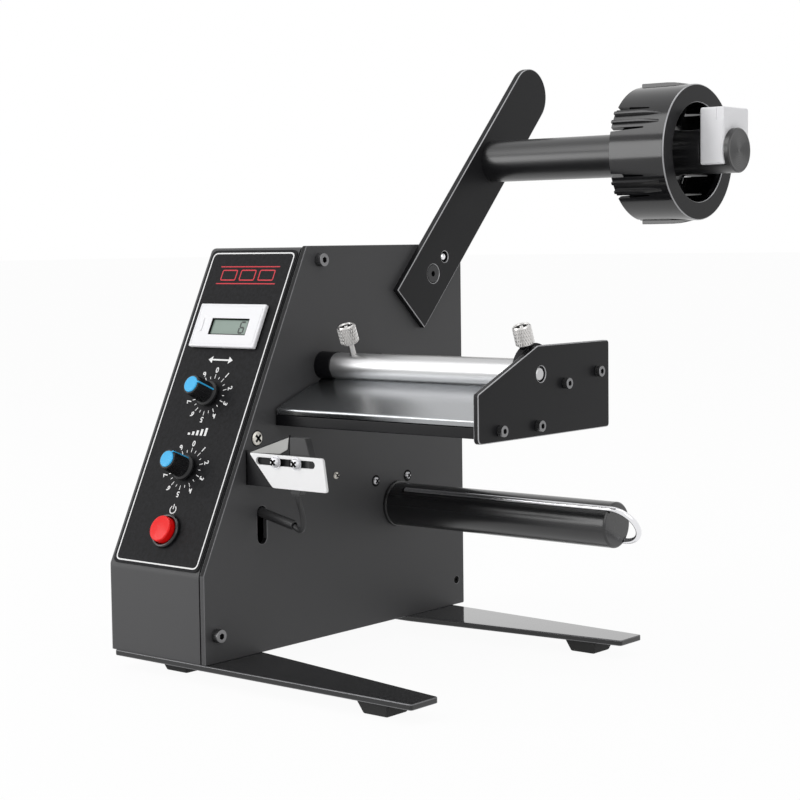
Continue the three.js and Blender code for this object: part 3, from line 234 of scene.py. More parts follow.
class PanelSizes(PropertyGroup):
    """Sizes on the control panel."""

    border_width: length("Border line", "Width of the white border line", 0.75)
    border_inset: length("Border inset", "Distance of the border line from the overlay edge", 1.5)
    numeral_radius: length("Numeral radius", "Radius on which the numerals stand", 14)
    numeral_height: length("Numeral height", "Height of the numerals", 3.1)
    tick_inner: length("Tick start", "Inner radius of the ticks", 9.3)
    tick_long: length("Tick length", "Length of a tick", 2.4)
    print_rise: length("Print height", "Thickness of the print", 0.04)


class RollerSizes(PropertyGroup):
    """Sizes of the hub, the rollers and the arm."""

    shaft_radius: length("Shaft radius", "Radius of the unwind shaft and the rewind spindle", 12)
    hub_radius: length("Hub radius", "Outer radius of the core hub", 36.8)
    hub_fingers: IntProperty(name="Fingers", description="Ribbed fingers around the hub", default=6, min=3)
    clip_radius: length("Clip radius", "Wire radius of the spindle clip", 1.5)
    knurls: IntProperty(name="Knurls", description="Ridges around a thumb screw", default=24, min=8)


def in_millimetres(group):
    """The sizes of a property group in millimetres; counts stay as they are."""
    values = {key: getattr(group, key) for key in group.__annotations__}
    return SimpleNamespace(**{key: value if isinstance(value, int) else value / MM
                              for key, value in values.items()})


def housing():
    return in_millimetres(bpy.context.scene.dispenser_housing)


def panel():
    return in_millimetres(bpy.context.scene.dispenser_panel)


def rollers():
    return in_millimetres(bpy.context.scene.dispenser_rollers)


# Materials: what a finish doesn't name is plain; a colour is a value or one of the user's colours

PLAIN = dict(metallic=0.0, grain=900.0, height=0.02, strength=0.25, mottle=0.12, mottle_scale=18.0,
             sheen_span=0.06, stretch=(1, 1, 1), specular=0.5, coat=0.0, coat_roughness=0.1, coat_ior=1.5)

FINISHES = {
    "charcoal_paint": dict(colour="housing", roughness=0.5, grain=2600, height=0.05, strength=0.35,
                           mottle=0.07, mottle_scale=9, specular=0.35),
    # Painted shade: a darker copy of the housing paint for the side plate's slanted front edge
    "shaded_paint": dict(colour=(0.012, 0.012, 0.0125), roughness=0.5, grain=2600, mottle=0.1,
                         specular=0.15),
    # Painted highlights: light colours on bevels and chamfers, where the edges catch the light
    "bare_edge": dict(colour=(0.34, 0.34, 0.35), roughness=0.3, metallic=0.7, grain=1800, mottle=0.2),
    "bright_edge": dict(colour=(0.92, 0.92, 0.93), roughness=0.3, metallic=0.9, grain=1800, mottle=0.05),
    "worn_edge": dict(colour=(0.13, 0.13, 0.135), roughness=0.34, metallic=0.5, grain=1800, mottle=0.25),
    "overlay_film": dict(colour="overlay", roughness=0.55, grain=1500, height=0.12, strength=0.8,
                         mottle=0.75, mottle_scale=520, specular=0.12),
    "arm_paint": dict(colour="arm", roughness=0.42, grain=3000, height=0.04, strength=0.3, specular=0.16),
    "black_paint": dict(colour="black_paint", roughness=0.34, grain=3000, height=0.04, strength=0.2,
                        specular=0.16),
    # Painted highlight: the light grey stands for light falling on the dark bracket
    "flap_paint": dict(colour=(0.34, 0.34, 0.33), roughness=0.4, metallic=0.2, grain=2500),
    "foot_bar_paint": dict(colour="foot_bar", roughness=0.12, grain=800, height=0.01, strength=0.05,
                           sheen_span=0.03, specular=0.1, coat=1.0, coat_roughness=0.03, coat_ior=1.42),
    "gloss_plastic": dict(colour="gloss_black", roughness=0.13, grain=260, height=0.04, strength=0.08,
                          sheen_span=0.04),
    "satin_plastic": dict(colour="gloss_black", roughness=0.34, grain=600, specular=0.16),
    "knob_plastic": dict(colour="gloss_black", roughness=0.38, grain=1200, height=0.03, specular=0.4),
    "sleeve_plastic": dict(colour=(0.018, 0.018, 0.019), roughness=0.5, grain=1600),
    "blue_plastic": dict(colour="blue", roughness=0.4, grain=1400, mottle=0.05),
    "red_plastic": dict(colour="red", roughness=0.3, grain=400, mottle=0.06, coat=0.15, specular=0.2),
    "display_glass": dict(colour="display", roughness=0.2, grain=300, mottle=0.06, strength=0.05, coat=0.6),
    "display_ink": dict(colour=(0.035, 0.045, 0.04), roughness=0.4, mottle=0.1),
    "print_white": dict(colour="print_white", roughness=0.5, grain=2000, mottle=0.04),
    "print_red": dict(colour="print_red", roughness=0.5, grain=2000, mottle=0.08),
    "board_lacquer": dict(colour=(0.012, 0.10, 0.04), roughness=0.35, grain=600, mottle=0.25,
                          mottle_scale=120),
    "anodised_black": dict(colour="anodised", roughness=0.3, grain=700, stretch=(0.02, 1, 1), height=0.03,
                           strength=0.2, coat=0.3, coat_roughness=0.25),
    "turned_black": dict(colour=(0.035, 0.035, 0.037), roughness=0.36, metallic=0.6, grain=1500),
    "bright_black": dict(colour=(0.05, 0.05, 0.052), roughness=0.3, metallic=0.8, grain=1500),
    "black_oxide": dict(colour=(0.22, 0.22, 0.225), roughness=0.34, metallic=1.0, grain=1500),
    # Painted shade: near black for the floors of recesses and holes
    "screw_hollow": dict(colour=(0.004, 0.004, 0.004), roughness=0.8, grain=1500, specular=0.1),
    "chrome_surface": dict(colour=(0.52, 0.52, 0.525), roughness=0.36, metallic=1.0, grain=500,
                           stretch=(0.03, 1, 1), height=0.03, strength=0.12, mottle=0.05, sheen_span=0.05),
    "wire_chrome": dict(colour=(0.82, 0.82, 0.84), roughness=0.16, metallic=1.0, mottle=0.04),
    "mirror_steel": dict(colour=(0.38, 0.39, 0.40), roughness=0.27, metallic=1.0, grain=500,
                         stretch=(0.05, 1, 1), height=0.01, strength=0.06, mottle=0.03, sheen_span=0.025),
    "gate_steel": dict(colour=(0.74, 0.74, 0.745), roughness=0.4, metallic=0.15, stretch=(0.06, 1, 1),
                       mottle=0.03),
    "knurled_steel": dict(colour=(0.62, 0.61, 0.60), roughness=0.3, metallic=1.0, mottle=0.15),
    "zinc_steel_surface": dict(colour=(0.46, 0.45, 0.43), roughness=0.4, metallic=1.0, grain=500,
                               mottle=0.2),
    "cream_zinc": dict(colour=(0.95, 0.92, 0.84), roughness=0.36, metallic=0.4, mottle=0.05),
}


def new_material(name):
    material = bpy.data.materials.new(name)
    material.use_nodes = True
    tree = material.node_tree
    return material, tree.nodes, tree.links, tree.nodes["Principled BSDF"]


def noise(nodes, scale, detail):
    texture = nodes.new("ShaderNodeTexNoise")
    texture.inputs["Scale"].default_value = scale
    texture.inputs["Detail"].default_value = detail
    return texture


def finish(name):
    """The frame's own material of that name, or else the finish with fine grain and slow mottling."""
    if name in bpy.data.materials:
        return bpy.data.materials[name]
    look = SimpleNamespace(**{**PLAIN, **FINISHES[name]})
    colour = look.colour
    if isinstance(colour, str):
        colour = getattr(bpy.context.scene.dispenser_colours, colour)
    material, nodes, links, shader = new_material(name)
    place = nodes.new("ShaderNodeTexCoord")
    mapping = nodes.new("ShaderNodeMapping")
    mapping.inputs["Scale"].default_value = look.stretch
    links.new(place.outputs["Object"], mapping.inputs["Vector"])
    fine = noise(nodes, look.grain, 3.0)
    slow = noise(nodes, look.mottle_scale, 5.0)
    slow.inputs["Roughness"].default_value = 0.6
    links.new(mapping.outputs["Vector"], fine.inputs["Vector"])
    links.new(mapping.outputs["Vector"], slow.inputs["Vector"])
    start, end = 0.3, 0.7
    ramp = nodes.new("ShaderNodeValToRGB")
    low, high = ramp.color_ramp.elements
    low.position, high.position = start, end
    low.color = tuple(c * (1 - look.mottle) for c in colour) + (1,)
    high.color = tuple(min(1.0, c * (1 + look.mottle)) for c in colour) + (1,)
    links.new(slow.outputs["Fac"], ramp.inputs["Fac"])
    links.new(ramp.outputs["Color"], shader.inputs["Base Color"])
    span = nodes.new("ShaderNodeMapRange")
    span.inputs["From Min"].default_value = start
    span.inputs["From Max"].default_value = end
    span.inputs["To Min"].default_value = max(0.02, look.roughness - look.sheen_span)
    span.inputs["To Max"].default_value = min(1.0, look.roughness + look.sheen_span)
    links.new(slow.outputs["Fac"], span.inputs["Value"])
    links.new(span.outputs["Result"], shader.inputs["Roughness"])
    bump = nodes.new("ShaderNodeBump")
    bump.inputs["Strength"].default_value = look.strength
    bump.inputs["Distance"].default_value = look.height * MM
    links.new(fine.outputs["Fac"], bump.inputs["Height"])
    links.new(bump.outputs["Normal"], shader.inputs["Normal"])
    shader.inputs["Metallic"].default_value = look.metallic
    shader.inputs["Coat Weight"].default_value = look.coat
    shader.inputs["Coat Roughness"].default_value = look.coat_roughness
    shader.inputs["Coat IOR"].default_value = look.coat_ior
    shader.inputs["Specular IOR Level"].default_value = look.specular
    return material


# Mesh helpers


def link(name, data, matrix=HERE):
    piece = bpy.data.objects.new(name, data)
    piece.matrix_world = matrix
    bpy.context.scene.collection.objects.link(piece)
    return piece


def from_bmesh(name, shape, matrix=HERE):
    """A closed piece from a shape in millimetres."""
    mesh = bpy.data.meshes.new(name)
    bmesh.ops.transform(shape, matrix=Matrix.Scale(MM, 4), verts=shape.verts)
    bmesh.ops.remove_doubles(shape, verts=shape.verts, dist=1e-7)
    bmesh.ops.recalc_face_normals(shape, faces=shape.faces)
    shape.to_mesh(mesh)
    shape.free()
    return link(name, mesh, matrix)


def baked(piece):
    """The piece with its modifiers applied and its place moved into its mesh."""
    bpy.context.view_layer.update()
    graph = bpy.context.evaluated_depsgraph_get()
    mesh = bpy.data.meshes.new_from_object(piece.evaluated_get(graph))
    mesh.transform(piece.matrix_world)
    name = piece.name
    bpy.data.objects.remove(piece)
    return link(name, mesh)


def cleaned(piece):
    """Merges doubles and turns the faces outwards."""
    shape = bmesh.new()
    shape.from_mesh(piece.data)
    bmesh.ops.remove_doubles(shape, verts=shape.verts, dist=1e-7)
    bmesh.ops.dissolve_degenerate(shape, edges=shape.edges, dist=1e-7)
    bmesh.ops.recalc_face_normals(shape, faces=shape.faces)
    shape.to_mesh(piece.data)
    shape.free()
    return piece


def bevelled(piece, radius, segments=3, angle=30):
    """Rounds the edges that are sharper than the angle, in degrees."""
    modifier = piece.modifiers.new("edges", "BEVEL")
    modifier.width = radius * MM
    modifier.segments = segments
    modifier.limit_method = "ANGLE"
    modifier.angle_limit = math.radians(angle)
    modifier.use_clamp_overlap = True
    return piece


def with_boolean(piece, other, operation):
    modifier = piece.modifiers.new("cut", "BOOLEAN")
    modifier.operation = operation
    modifier.solver = "EXACT"
    modifier.object = other
    result = baked(piece)
    bpy.data.objects.remove(other)
    return result


def minus(piece, *tools):
    """The piece with the tools cut out of it, one after the other."""
    for tool in tools:
        piece = with_boolean(piece, tool, "DIFFERENCE")
    return piece


def joined(name, *pieces):
    """One piece made of several closed shells."""
    shape = bmesh.new()
    for piece in pieces:
        piece.data.transform(piece.matrix_world)
        shape.from_mesh(piece.data)
        bpy.data.objects.remove(piece)
    mesh = bpy.data.meshes.new(name)
    shape.to_mesh(mesh)
    shape.free()
    return link(name, mesh)


def sloping_up(face):
    """Picks the narrow faces along the slanted front edge of an upright sheet, which get painted shade."""
    return abs(face.normal.x) < 0.2 and face.normal.y < -0.5 and face.normal.z > 0.2


def slanting(axis):
    """Picks the faces that round off the edges of a sheet lying across the axis."""
    return lambda face: 0.2 < abs(face.normal[axis]) < 0.97


def dress(piece, material, body, slot, *nodes, angle=32, edges=()):
    """Bakes the piece, smooths it, paints it and lets it ride on its body.

    Each edge entry is the name of a finish and the test that picks its faces.
    """
    piece = baked(piece)
    mesh = piece.data
    mesh.materials.clear()
    mesh.materials.append(finish(material))
    for edge_finish, _ in edges:
        mesh.materials.append(finish(edge_finish))
    for face in mesh.polygons:
        face.material_index = 0
        for number, (_, picked) in enumerate(edges):
            if picked(face):
                face.material_index = number + 1
        face.use_smooth = True
    mesh.set_sharp_from_angle(angle=math.radians(angle))
    even = piece.modifiers.new("even", "WEIGHTED_NORMAL")
    even.keep_sharp = True
    even.weight = 85
    piece = baked(piece)
    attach(piece, body)
    if nodes:
        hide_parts(*nodes)
    return piece


def lathe(name, profile, matrix, sides=ROUND):
    """Turns a profile of (radius, height) points about local Z."""
    shape = bmesh.new()
    closed = profile[0][0] > 0
    rings = []
    for radius, height in profile:
        if radius <= 0:
            rings.append([shape.verts.new((0, 0, height))])
            continue
        rings.append([shape.verts.new((radius * math.cos(FULL_TURN * i / sides),
                                       radius * math.sin(FULL_TURN * i / sides), height))
                      for i in range(sides)])
    pairs = list(zip(rings, rings[1:]))
    if closed:
        pairs.append((rings[-1], rings[0]))
    for low, high in pairs:
        for i in range(sides):
            j = (i + 1) % sides
            if len(low) == 1 and len(high) == 1:
                break
            if len(low) == 1:
                shape.faces.new((low[0], high[i], high[j]))
            elif len(high) == 1:
                shape.faces.new((low[i], high[0], low[j]))
            else:
                shape.faces.new((low[i], low[j], high[j], high[i]))
    return from_bmesh(name, shape, matrix)


def softened(profile, radius, steps=3, closed=False):
    """Rounds the corners of a profile; one radius or one for each corner."""
    points = [Vector(p) for p in profile]
    result = []
    count = len(points)
    radii = radius if isinstance(radius, (list, tuple)) else [radius] * count
    for i, corner in enumerate(points):
        if not closed and i in (0, count - 1):
            result.append(tuple(corner))
            continue
        before = points[i - 1] - corner
        after = points[(i + 1) % count] - corner
        reach = min(radii[i], before.length / 2.2, after.length / 2.2)
        start = corner + before.normalized() * reach
        end = corner + after.normalized() * reach
        for step in range(steps + 1):
            t = step / steps
            result.append(tuple(start * (1 - t) ** 2 + corner * 2 * t * (1 - t) + end * t ** 2))
    return result


def rectangle(left, low, right, high):
    return [(left, low), (right, low), (right, high), (left, high)]


def circle(x, y, radius, sides=FINE):
    return [(x + radius * math.cos(FULL_TURN * i / sides), y + radius * math.sin(FULL_TURN * i / sides))
            for i in range(sides)]


def stadium(x, low, high, half, sides=12):
    """An upright slot with round ends."""
    top = [(x + half * math.cos(math.pi * i / sides), high - half + half * math.sin(math.pi * i / sides))
           for i in range(sides + 1)]
    bottom = [(x - half * math.cos(math.pi * i / sides), low + half - half * math.sin(math.pi * i / sides))
              for i in range(sides + 1)]
    return top + bottom


def sheet(name, outline, holes, start, thickness, matrix, edge=0.3, steps=2):
    """A flat plate cut from an outline with holes, with rounded edges."""
    data = bpy.data.curves.new(name, "CURVE")
    data.dimensions = "2D"
    data.fill_mode = "BOTH"
    data.extrude = (thickness / 2 - edge) * MM
    data.bevel_depth = edge * MM
    data.bevel_resolution = steps
    data.offset = -edge * MM
    for loop in [outline, *holes]:
        spline = data.splines.new("POLY")
        spline.points.add(len(loop) - 1)
        for point, (x, y) in zip(spline.points, loop):
            point.co = (x * MM, y * MM, 0, 1)
        spline.use_cyclic_u = True
    return cleaned(baked(link(name, data, moved(matrix, 0, 0, start + thickness / 2))))


def prism(name, outline, start, end, matrix=HERE):
    """A plain closed prism of an outline."""
    shape = bmesh.new()
    low = [shape.verts.new((x, y, start)) for x, y in outline]
    high = [shape.verts.new((x, y, end)) for x, y in outline]
    shape.faces.new(low[::-1])
    shape.faces.new(high)
    for i in range(len(low)):
        j = (i + 1) % len(low)
        shape.faces.new((low[i], low[j], high[j], high[i]))
    return from_bmesh(name, shape, matrix)


def brick(name, low, high, matrix=HERE):
    """A closed box between two corners."""
    return prism(name, rectangle(low[0], low[1], high[0], high[1]), low[2], high[2], matrix)


def plug(radius, start, end, matrix, sides):
    """A plain round or many-sided plug, to cut a hole with."""
    return lathe("plug", [(0, start), (radius, start), (radius, end), (0, end)], matrix, sides)


def sweep(name, points, radius, matrix, smooth=True):
    """A solid round wire along points."""
    data = bpy.data.curves.new(name, "CURVE")
    data.dimensions = "3D"
    data.bevel_depth = radius * MM
    data.bevel_resolution = 8
    data.use_fill_caps = True
    spline = data.splines.new("NURBS" if smooth else "POLY")
    spline.points.add(len(points) - 1)
    for point, (x, y, z) in zip(spline.points, points):
        point.co = (x * MM, y * MM, z * MM, 1)
    if smooth:
        spline.order_u = 4
        spline.use_endpoint_u = True
        spline.resolution_u = 8
    return cleaned(baked(link(name, data, matrix)))


# Geometry node trees for what repeats


def tree_with(name, sockets):
    tree = bpy.data.node_groups.new(name, "GeometryNodeTree")
    tree.interface.new_socket(name="Geometry", in_out="INPUT", socket_type="NodeSocketGeometry")
    for label, kind in sockets:
        tree.interface.new_socket(name=label, in_out="INPUT", socket_type=kind)
    tree.interface.new_socket(name="Geometry", in_out="OUTPUT", socket_type="NodeSocketGeometry")
    return tree, tree.nodes.new("NodeGroupInput"), tree.nodes.new("NodeGroupOutput")


def spread_and_close(tree, points, rotation, entry, leave):
    """Puts copies on the points; every tree ends in plain geometry with its material set."""
    nodes, links = tree.nodes, tree.links
    item = nodes.new("GeometryNodeObjectInfo")
    spread = nodes.new("GeometryNodeInstanceOnPoints")
    realize = nodes.new("GeometryNodeRealizeInstances")
    paint_node = nodes.new("GeometryNodeSetMaterial")
    links.new(entry.outputs["Piece"], item.inputs["Object"])
    links.new(points, spread.inputs["Points"])
    links.new(item.outputs["Geometry"], spread.inputs["Instance"])
    links.new(rotation, spread.inputs["Rotation"])
    links.new(spread.outputs["Instances"], realize.inputs["Geometry"])
    links.new(realize.outputs["Geometry"], paint_node.inputs["Geometry"])
    links.new(entry.outputs["Finish"], paint_node.inputs["Material"])
    links.new(paint_node.outputs["Geometry"], leave.inputs["Geometry"])


def around_tree():
    """Copies of a piece turned about local Z by an even step."""
    name = "repeat_around"
    if name in bpy.data.node_groups:
        return bpy.data.node_groups[name]
    tree, entry, leave = tree_with(name, [("Piece", "NodeSocketObject"), ("Count", "NodeSocketInt"),
                                          ("Step", "NodeSocketFloat"), ("Finish", "NodeSocketMaterial")])
    nodes, links = tree.nodes, tree.links
    points = nodes.new("GeometryNodePoints")
    index = nodes.new("GeometryNodeInputIndex")
    turn = nodes.new("ShaderNodeMath")
    turn.operation = "MULTIPLY"
    axes = nodes.new("ShaderNodeCombineXYZ")
    rotation = nodes.new("FunctionNodeEulerToRotation")
    links.new(entry.outputs["Count"], points.inputs["Count"])
    links.new(index.outputs["Index"], turn.inputs[0])
    links.new(entry.outputs["Step"], turn.inputs[1])
    links.new(turn.outputs[0], axes.inputs["Z"])
    links.new(axes.outputs[0], rotation.inputs[0])
    spread_and_close(tree, points.outputs[0], rotation.outputs[0], entry, leave)
    return tree


def places_tree():
    """Copies of a piece on points, each facing the way its point says."""
    name = "repeat_on_places"
    if name in bpy.data.node_groups:
        return bpy.data.node_groups[name]
    tree, entry, leave = tree_with(name, [("Piece", "NodeSocketObject"), ("Finish", "NodeSocketMaterial")])
    facing = tree.nodes.new("GeometryNodeInputNamedAttribute")
    facing.data_type = "FLOAT_VECTOR"
    facing.inputs["Name"].default_value = "facing"
    align = tree.nodes.new("FunctionNodeAlignRotationToVector")
    align.axis = "Z"
    tree.links.new(facing.outputs["Attribute"], align.inputs["Vector"])
    spread_and_close(tree, entry.outputs["Geometry"], align.outputs["Rotation"], entry, leave)
    return tree


def repeated(host, tree, item, material, **values):
    """The host with copies of the piece that its tree makes."""
    values.update(Piece=item, Finish=finish(material))
    modifier = host.modifiers.new("repeat", "NODES")
    modifier.node_group = tree
    for socket in tree.interface.items_tree:
        if socket.in_out == "INPUT" and socket.name in values:
            modifier[socket.identifier] = values[socket.name]
    result = baked(host)
    bpy.data.objects.remove(item)
    return result


def repeated_around(name, item, count, material, matrix):
    """Copies of the piece, evenly around local Z."""
    host = link(name, bpy.data.meshes.new(name), matrix)
    return repeated(host, around_tree(), item, material, Count=count, Step=FULL_TURN / count)


def repeated_on_places(name, item, places, material):
    """places: pairs of a position, in metres, and the direction in which the piece faces."""
    mesh = bpy.data.meshes.new(name)
    mesh.from_pydata([tuple(position) for position, _ in places], [], [])
    facing = mesh.attributes.new("facing", "FLOAT_VECTOR", "POINT")
    for value, (_, direction) in zip(facing.data, places):
        value.vector = direction
    return repeated(link(name, mesh), places_tree(), item, material)


# Fasteners

# Thickness of a washer as a share of its screw head's radius
WASHER_SHARE = 0.12


def socket_screw(head_radius, head_height, shank_radius, shank_length, key_radius, key_depth):
    """A cap screw with a hex socket, its seat at local Z = 0."""
    profile = [(0, -shank_length), (shank_radius, -shank_length), (shank_radius, 0), (head_radius, 0),
               (head_radius, head_height), (0, head_height)]
    head = lathe("screw_item", softened(profile, head_radius * 0.1), HERE, MEDIUM)
    return minus(head, plug(key_radius, head_height - key_depth, head_height + key_depth, HERE, HEX))


def crossed_bars(arm, half, low, high):
    """Two bars that cross over local Z."""
    return [brick("bar", (-arm, -half, low), (arm, half, high), Matrix.Rotation(turn, 4, "Z"))
            for turn in (math.pi / 4, 3 * math.pi / 4)]


def cross_screw(head_radius, head_height, shank_radius, shank_length, washer=0.0):
    """A pan head screw with a cross recess, its seat at local Z = 0."""
    foot = head_radius * WASHER_SHARE if washer else 0
    profile = [(0, -shank_length), (shank_radius, -shank_length), (shank_radius, 0)]
    if washer:
        profile += [(washer, 0), (washer, foot), (head_radius, foot)]
    else:
        profile += [(head_radius, 0)]
    top = foot + head_height
    profile += [(head_radius * 0.98, foot + head_height * 0.35),
                (head_radius * 0.75, top - head_height * 0.12), (head_radius * 0.4, top), (0, top)]
    head = lathe("screw_item", profile, HERE, MEDIUM)
    return minus(head, *crossed_bars(head_radius * 0.62, head_radius * 0.13, top - head_height * 0.6,
                                     top + head_height))


# Operators


class DISPENSER_OT_inner_pieces(Operator):
    """Gives the pieces inside the housing their finishes"""

    bl_idname = "dispenser.inner_pieces"
    bl_label = "Inner Pieces"

    def execute(self, context):
        finishes = {
            "charcoal_paint": ("base_plate",),
            "zinc_steel_surface": ("length_potentiometer", "speed_potentiometer", "drive_shaft",
                                   "bearing_block", "gear_motor", "motor_bracket"),
            "turned_black": ("spindle_pulley", "motor_pulley"),
            "rubber": ("drive_belt",),
            "board_lacquer": ("circuit_board",),
            "knob_plastic": ("power_inlet",),
        }
        for name, nodes in finishes.items():
            for node in nodes:
                for slot in frame["nodes"][node].material_slots:
                    slot.material = finish(name)
        return {"FINISHED"}


def housing_outline(inset):
    """Side view of the housing, drawn in by the inset; distance from the front and height."""
    sizes = housing()
    lean = math.atan2(sizes.height - sizes.slant_foot, sizes.slant_top)
    foot = sizes.slant_foot - inset * math.tan((math.pi / 2 - lean) / 2)
    top = sizes.slant_top + inset * math.tan(lean / 2)
    back, ceiling = sizes.depth - inset, sizes.height - inset
    return [(inset, 0), (back, 0), (back, ceiling), (top, ceiling), (inset, foot)]


def lowered(outline, by):
    """The outline with its lower edge further down."""
    return [(y, -by if z == 0 else z) for y, z in outline]


class DISPENSER_OT_side_plate(Operator):
    """Builds the side plate that carries the rollers"""

    bl_idname = "dispenser.side_plate"
    bl_label = "Side Plate"

    def execute(self, context):
        low, high = box_of("side_plate")
        thickness = high.x - low.x
        spindle = (joint_place("spindle_spin") - HOME) / MM
        lead_slot = stadium(LEAD_PLACE[0], 56.8, 76.8, 3.5)
        spindle_bore = circle(spindle.y, spindle.z, 11.1)
        rear_hole = circle(*REAR_SCREW, 2.15, SMALL)
        plate = sheet("side_plate_skin", softened(housing_outline(0), 0.8, closed=True),
                      [lead_slot, spindle_bore, rear_hole], -thickness, thickness, PLATE_FRAME,
                      housing().edge)
        # The plate's bevels get a painted edge highlight and its slanted front edge gets painted shade
        dress(plate, "charcoal_paint", "machine", "painted_sheet", "side_plate",
              edges=(("worn_edge", slanting(0)), ("shaded_paint", sloping_up)))
        return {"FINISHED"}


class DISPENSER_OT_cover(Operator):
    """Builds the folded housing cover"""

    bl_idname = "dispenser.cover"
    bl_label = "Housing Cover"

    def execute(self, context):
        sizes = housing()
        low, high = box_of("housing_cover")
        inset, spare, far, reach, rim = 0.8, 12, 1000, 8, 2.6
        left, right = low.x, high.x - SEAM
        outer = prism("cover_skin", lowered(housing_outline(inset), spare), left, right + spare, PLATE_FRAME)
        outer = baked(bevelled(outer, sizes.bend, 5, 20))
        inner = prism("inside", lowered(housing_outline(inset + sizes.sheet), 2 * spare), left + sizes.sheet,
                      right + 2 * spare, PLATE_FRAME)
        right_side = brick("right_side", (right, -spare, -2 * spare), (right + 2 * spare, far, far),
                           HOME_FRAME)
        underside = brick("underside", (left - spare, -spare, -2 * spare), (right + 2 * spare, far, 0),
                          HOME_FRAME)
        tools = [inner, right_side, underside]
        for centre, radius in panel_holes():
            tools.append(plug(radius, -reach, reach, axis_frame(centre, PANEL_OUT), FINE))
        window_low, window_high = counter_window()
        tools.append(brick("hole", (*window_low, -reach), (*window_high, reach), PANEL_FRAME))
        inlet_low, inlet_high = box_of("power_inlet")
        tools.append(brick("hole", (inlet_low.x + rim, inlet_low.y, inlet_low.z + rim),
                           (inlet_high.x - rim, inlet_high.y + rim, inlet_high.z - rim), HOME_FRAME))
        dress(minus(outer, *tools), "charcoal_paint", "machine", "painted_sheet", "housing_cover")
        return {"FINISHED"}


def panel_holes():
    """Middles, in metres, and radii of the round holes behind the knobs and the button."""
    knob_radius, button_radius = 3.9, 8.2
    knobs = [(joint_place(joint), knob_radius) for joint in ("length_turn", "speed_turn")]
    return [*knobs, (middle_of("power_button"), button_radius)]


def counter_window():
    """Two corners of the cut-out behind the counter."""
    centre = Vector((on_panel(middle_of("counter_body")).x, COUNTER_UP))
    half = Vector((22.8, 11.3))
    return tuple(centre - half), tuple(centre + half)


class DISPENSER_OT_feet(Operator):
    """Builds the foot bars and the rubber feet"""

    bl_idname = "dispenser.feet"
    bl_label = "Feet"

    def execute(self, context):
        low, high = box_of("front_foot_bar")
        thick, left, right = high.z - low.z, low.x, high.x
        rear = box_of("rear_foot_bar")[1].y
        root, tip, skew, corner, edge = 42, 20, 7.5, 1.6, 0.5
        outlines = {
            "front": [(left, 0), (right, 0), (right, tip), (0, root), (left, root)],
            "rear": [(left, rear - root), (0, rear - root), (right, rear - skew - tip),
                     (right, rear - skew), (0, rear), (left, rear)],
        }
        for name, outline in outlines.items():
            bar = sheet(f"{name}_foot_bar_blade", softened(outline, corner, closed=True), [], -thick, thick,
                        HOME_FRAME, edge)
            # The bars' bevels get a painted edge highlight
            dress(bar, "foot_bar_paint", "machine", "gloss_black", f"{name}_foot_bar",
                  edges=(("worn_edge", slanting(2)),))
        for node in ("front_left_foot", "front_right_foot", "rear_left_foot", "rear_right_foot"):
            self.foot(node)
        return {"FINISHED"}

    def foot(self, node):
        """A rubber block that narrows towards the table."""
        low, high = box_of(node)
        centre = (low + high) / 2
        wide, narrow, rounding = (high.x - low.x) / 2, 7.5, 1
        shape = bmesh.new()
        bmesh.ops.create_cube(shape, size=2)
        for vertex in shape.verts:
            half, height = (wide, high.z) if vertex.co.z > 0 else (narrow, low.z)
            vertex.co = (centre.x + half * vertex.co.x, centre.y + half * vertex.co.y, height)
        foot = bevelled(from_bmesh(f"{node}_rubber", shape, HOME_FRAME), rounding)
        dress(foot, "rubber", "machine", "rubber", node)


def printed(name, outline, holes, colour="print_white"):
    """A thin print on the overlay."""
    piece = sheet(name, outline, holes, OVERLAY_TOP, panel().print_rise, PANEL_FRAME, 0.005, 0)
    dress(piece, colour, "machine", "overlay")


def numeral(text, x, y, height, turn):
    """A printed figure that is turned about its own middle."""
    rise = panel().print_rise
    data = bpy.data.curves.new("numeral", "FONT")
    data.body = text
    data.size = height * 1.35 * MM
    data.align_x = "CENTER"
    data.align_y = "CENTER"
    data.extrude = rise / 2 * MM
    data.offset = height * 0.035 * MM
    data.resolution_u = 4
    place = moved(PANEL_FRAME, x, y, OVERLAY_TOP + rise / 2)
    figure = baked(link("numeral", data, place @ Matrix.Rotation(turn, 4, "Z")))
    figure.data.materials.clear()
    return cleaned(figure)


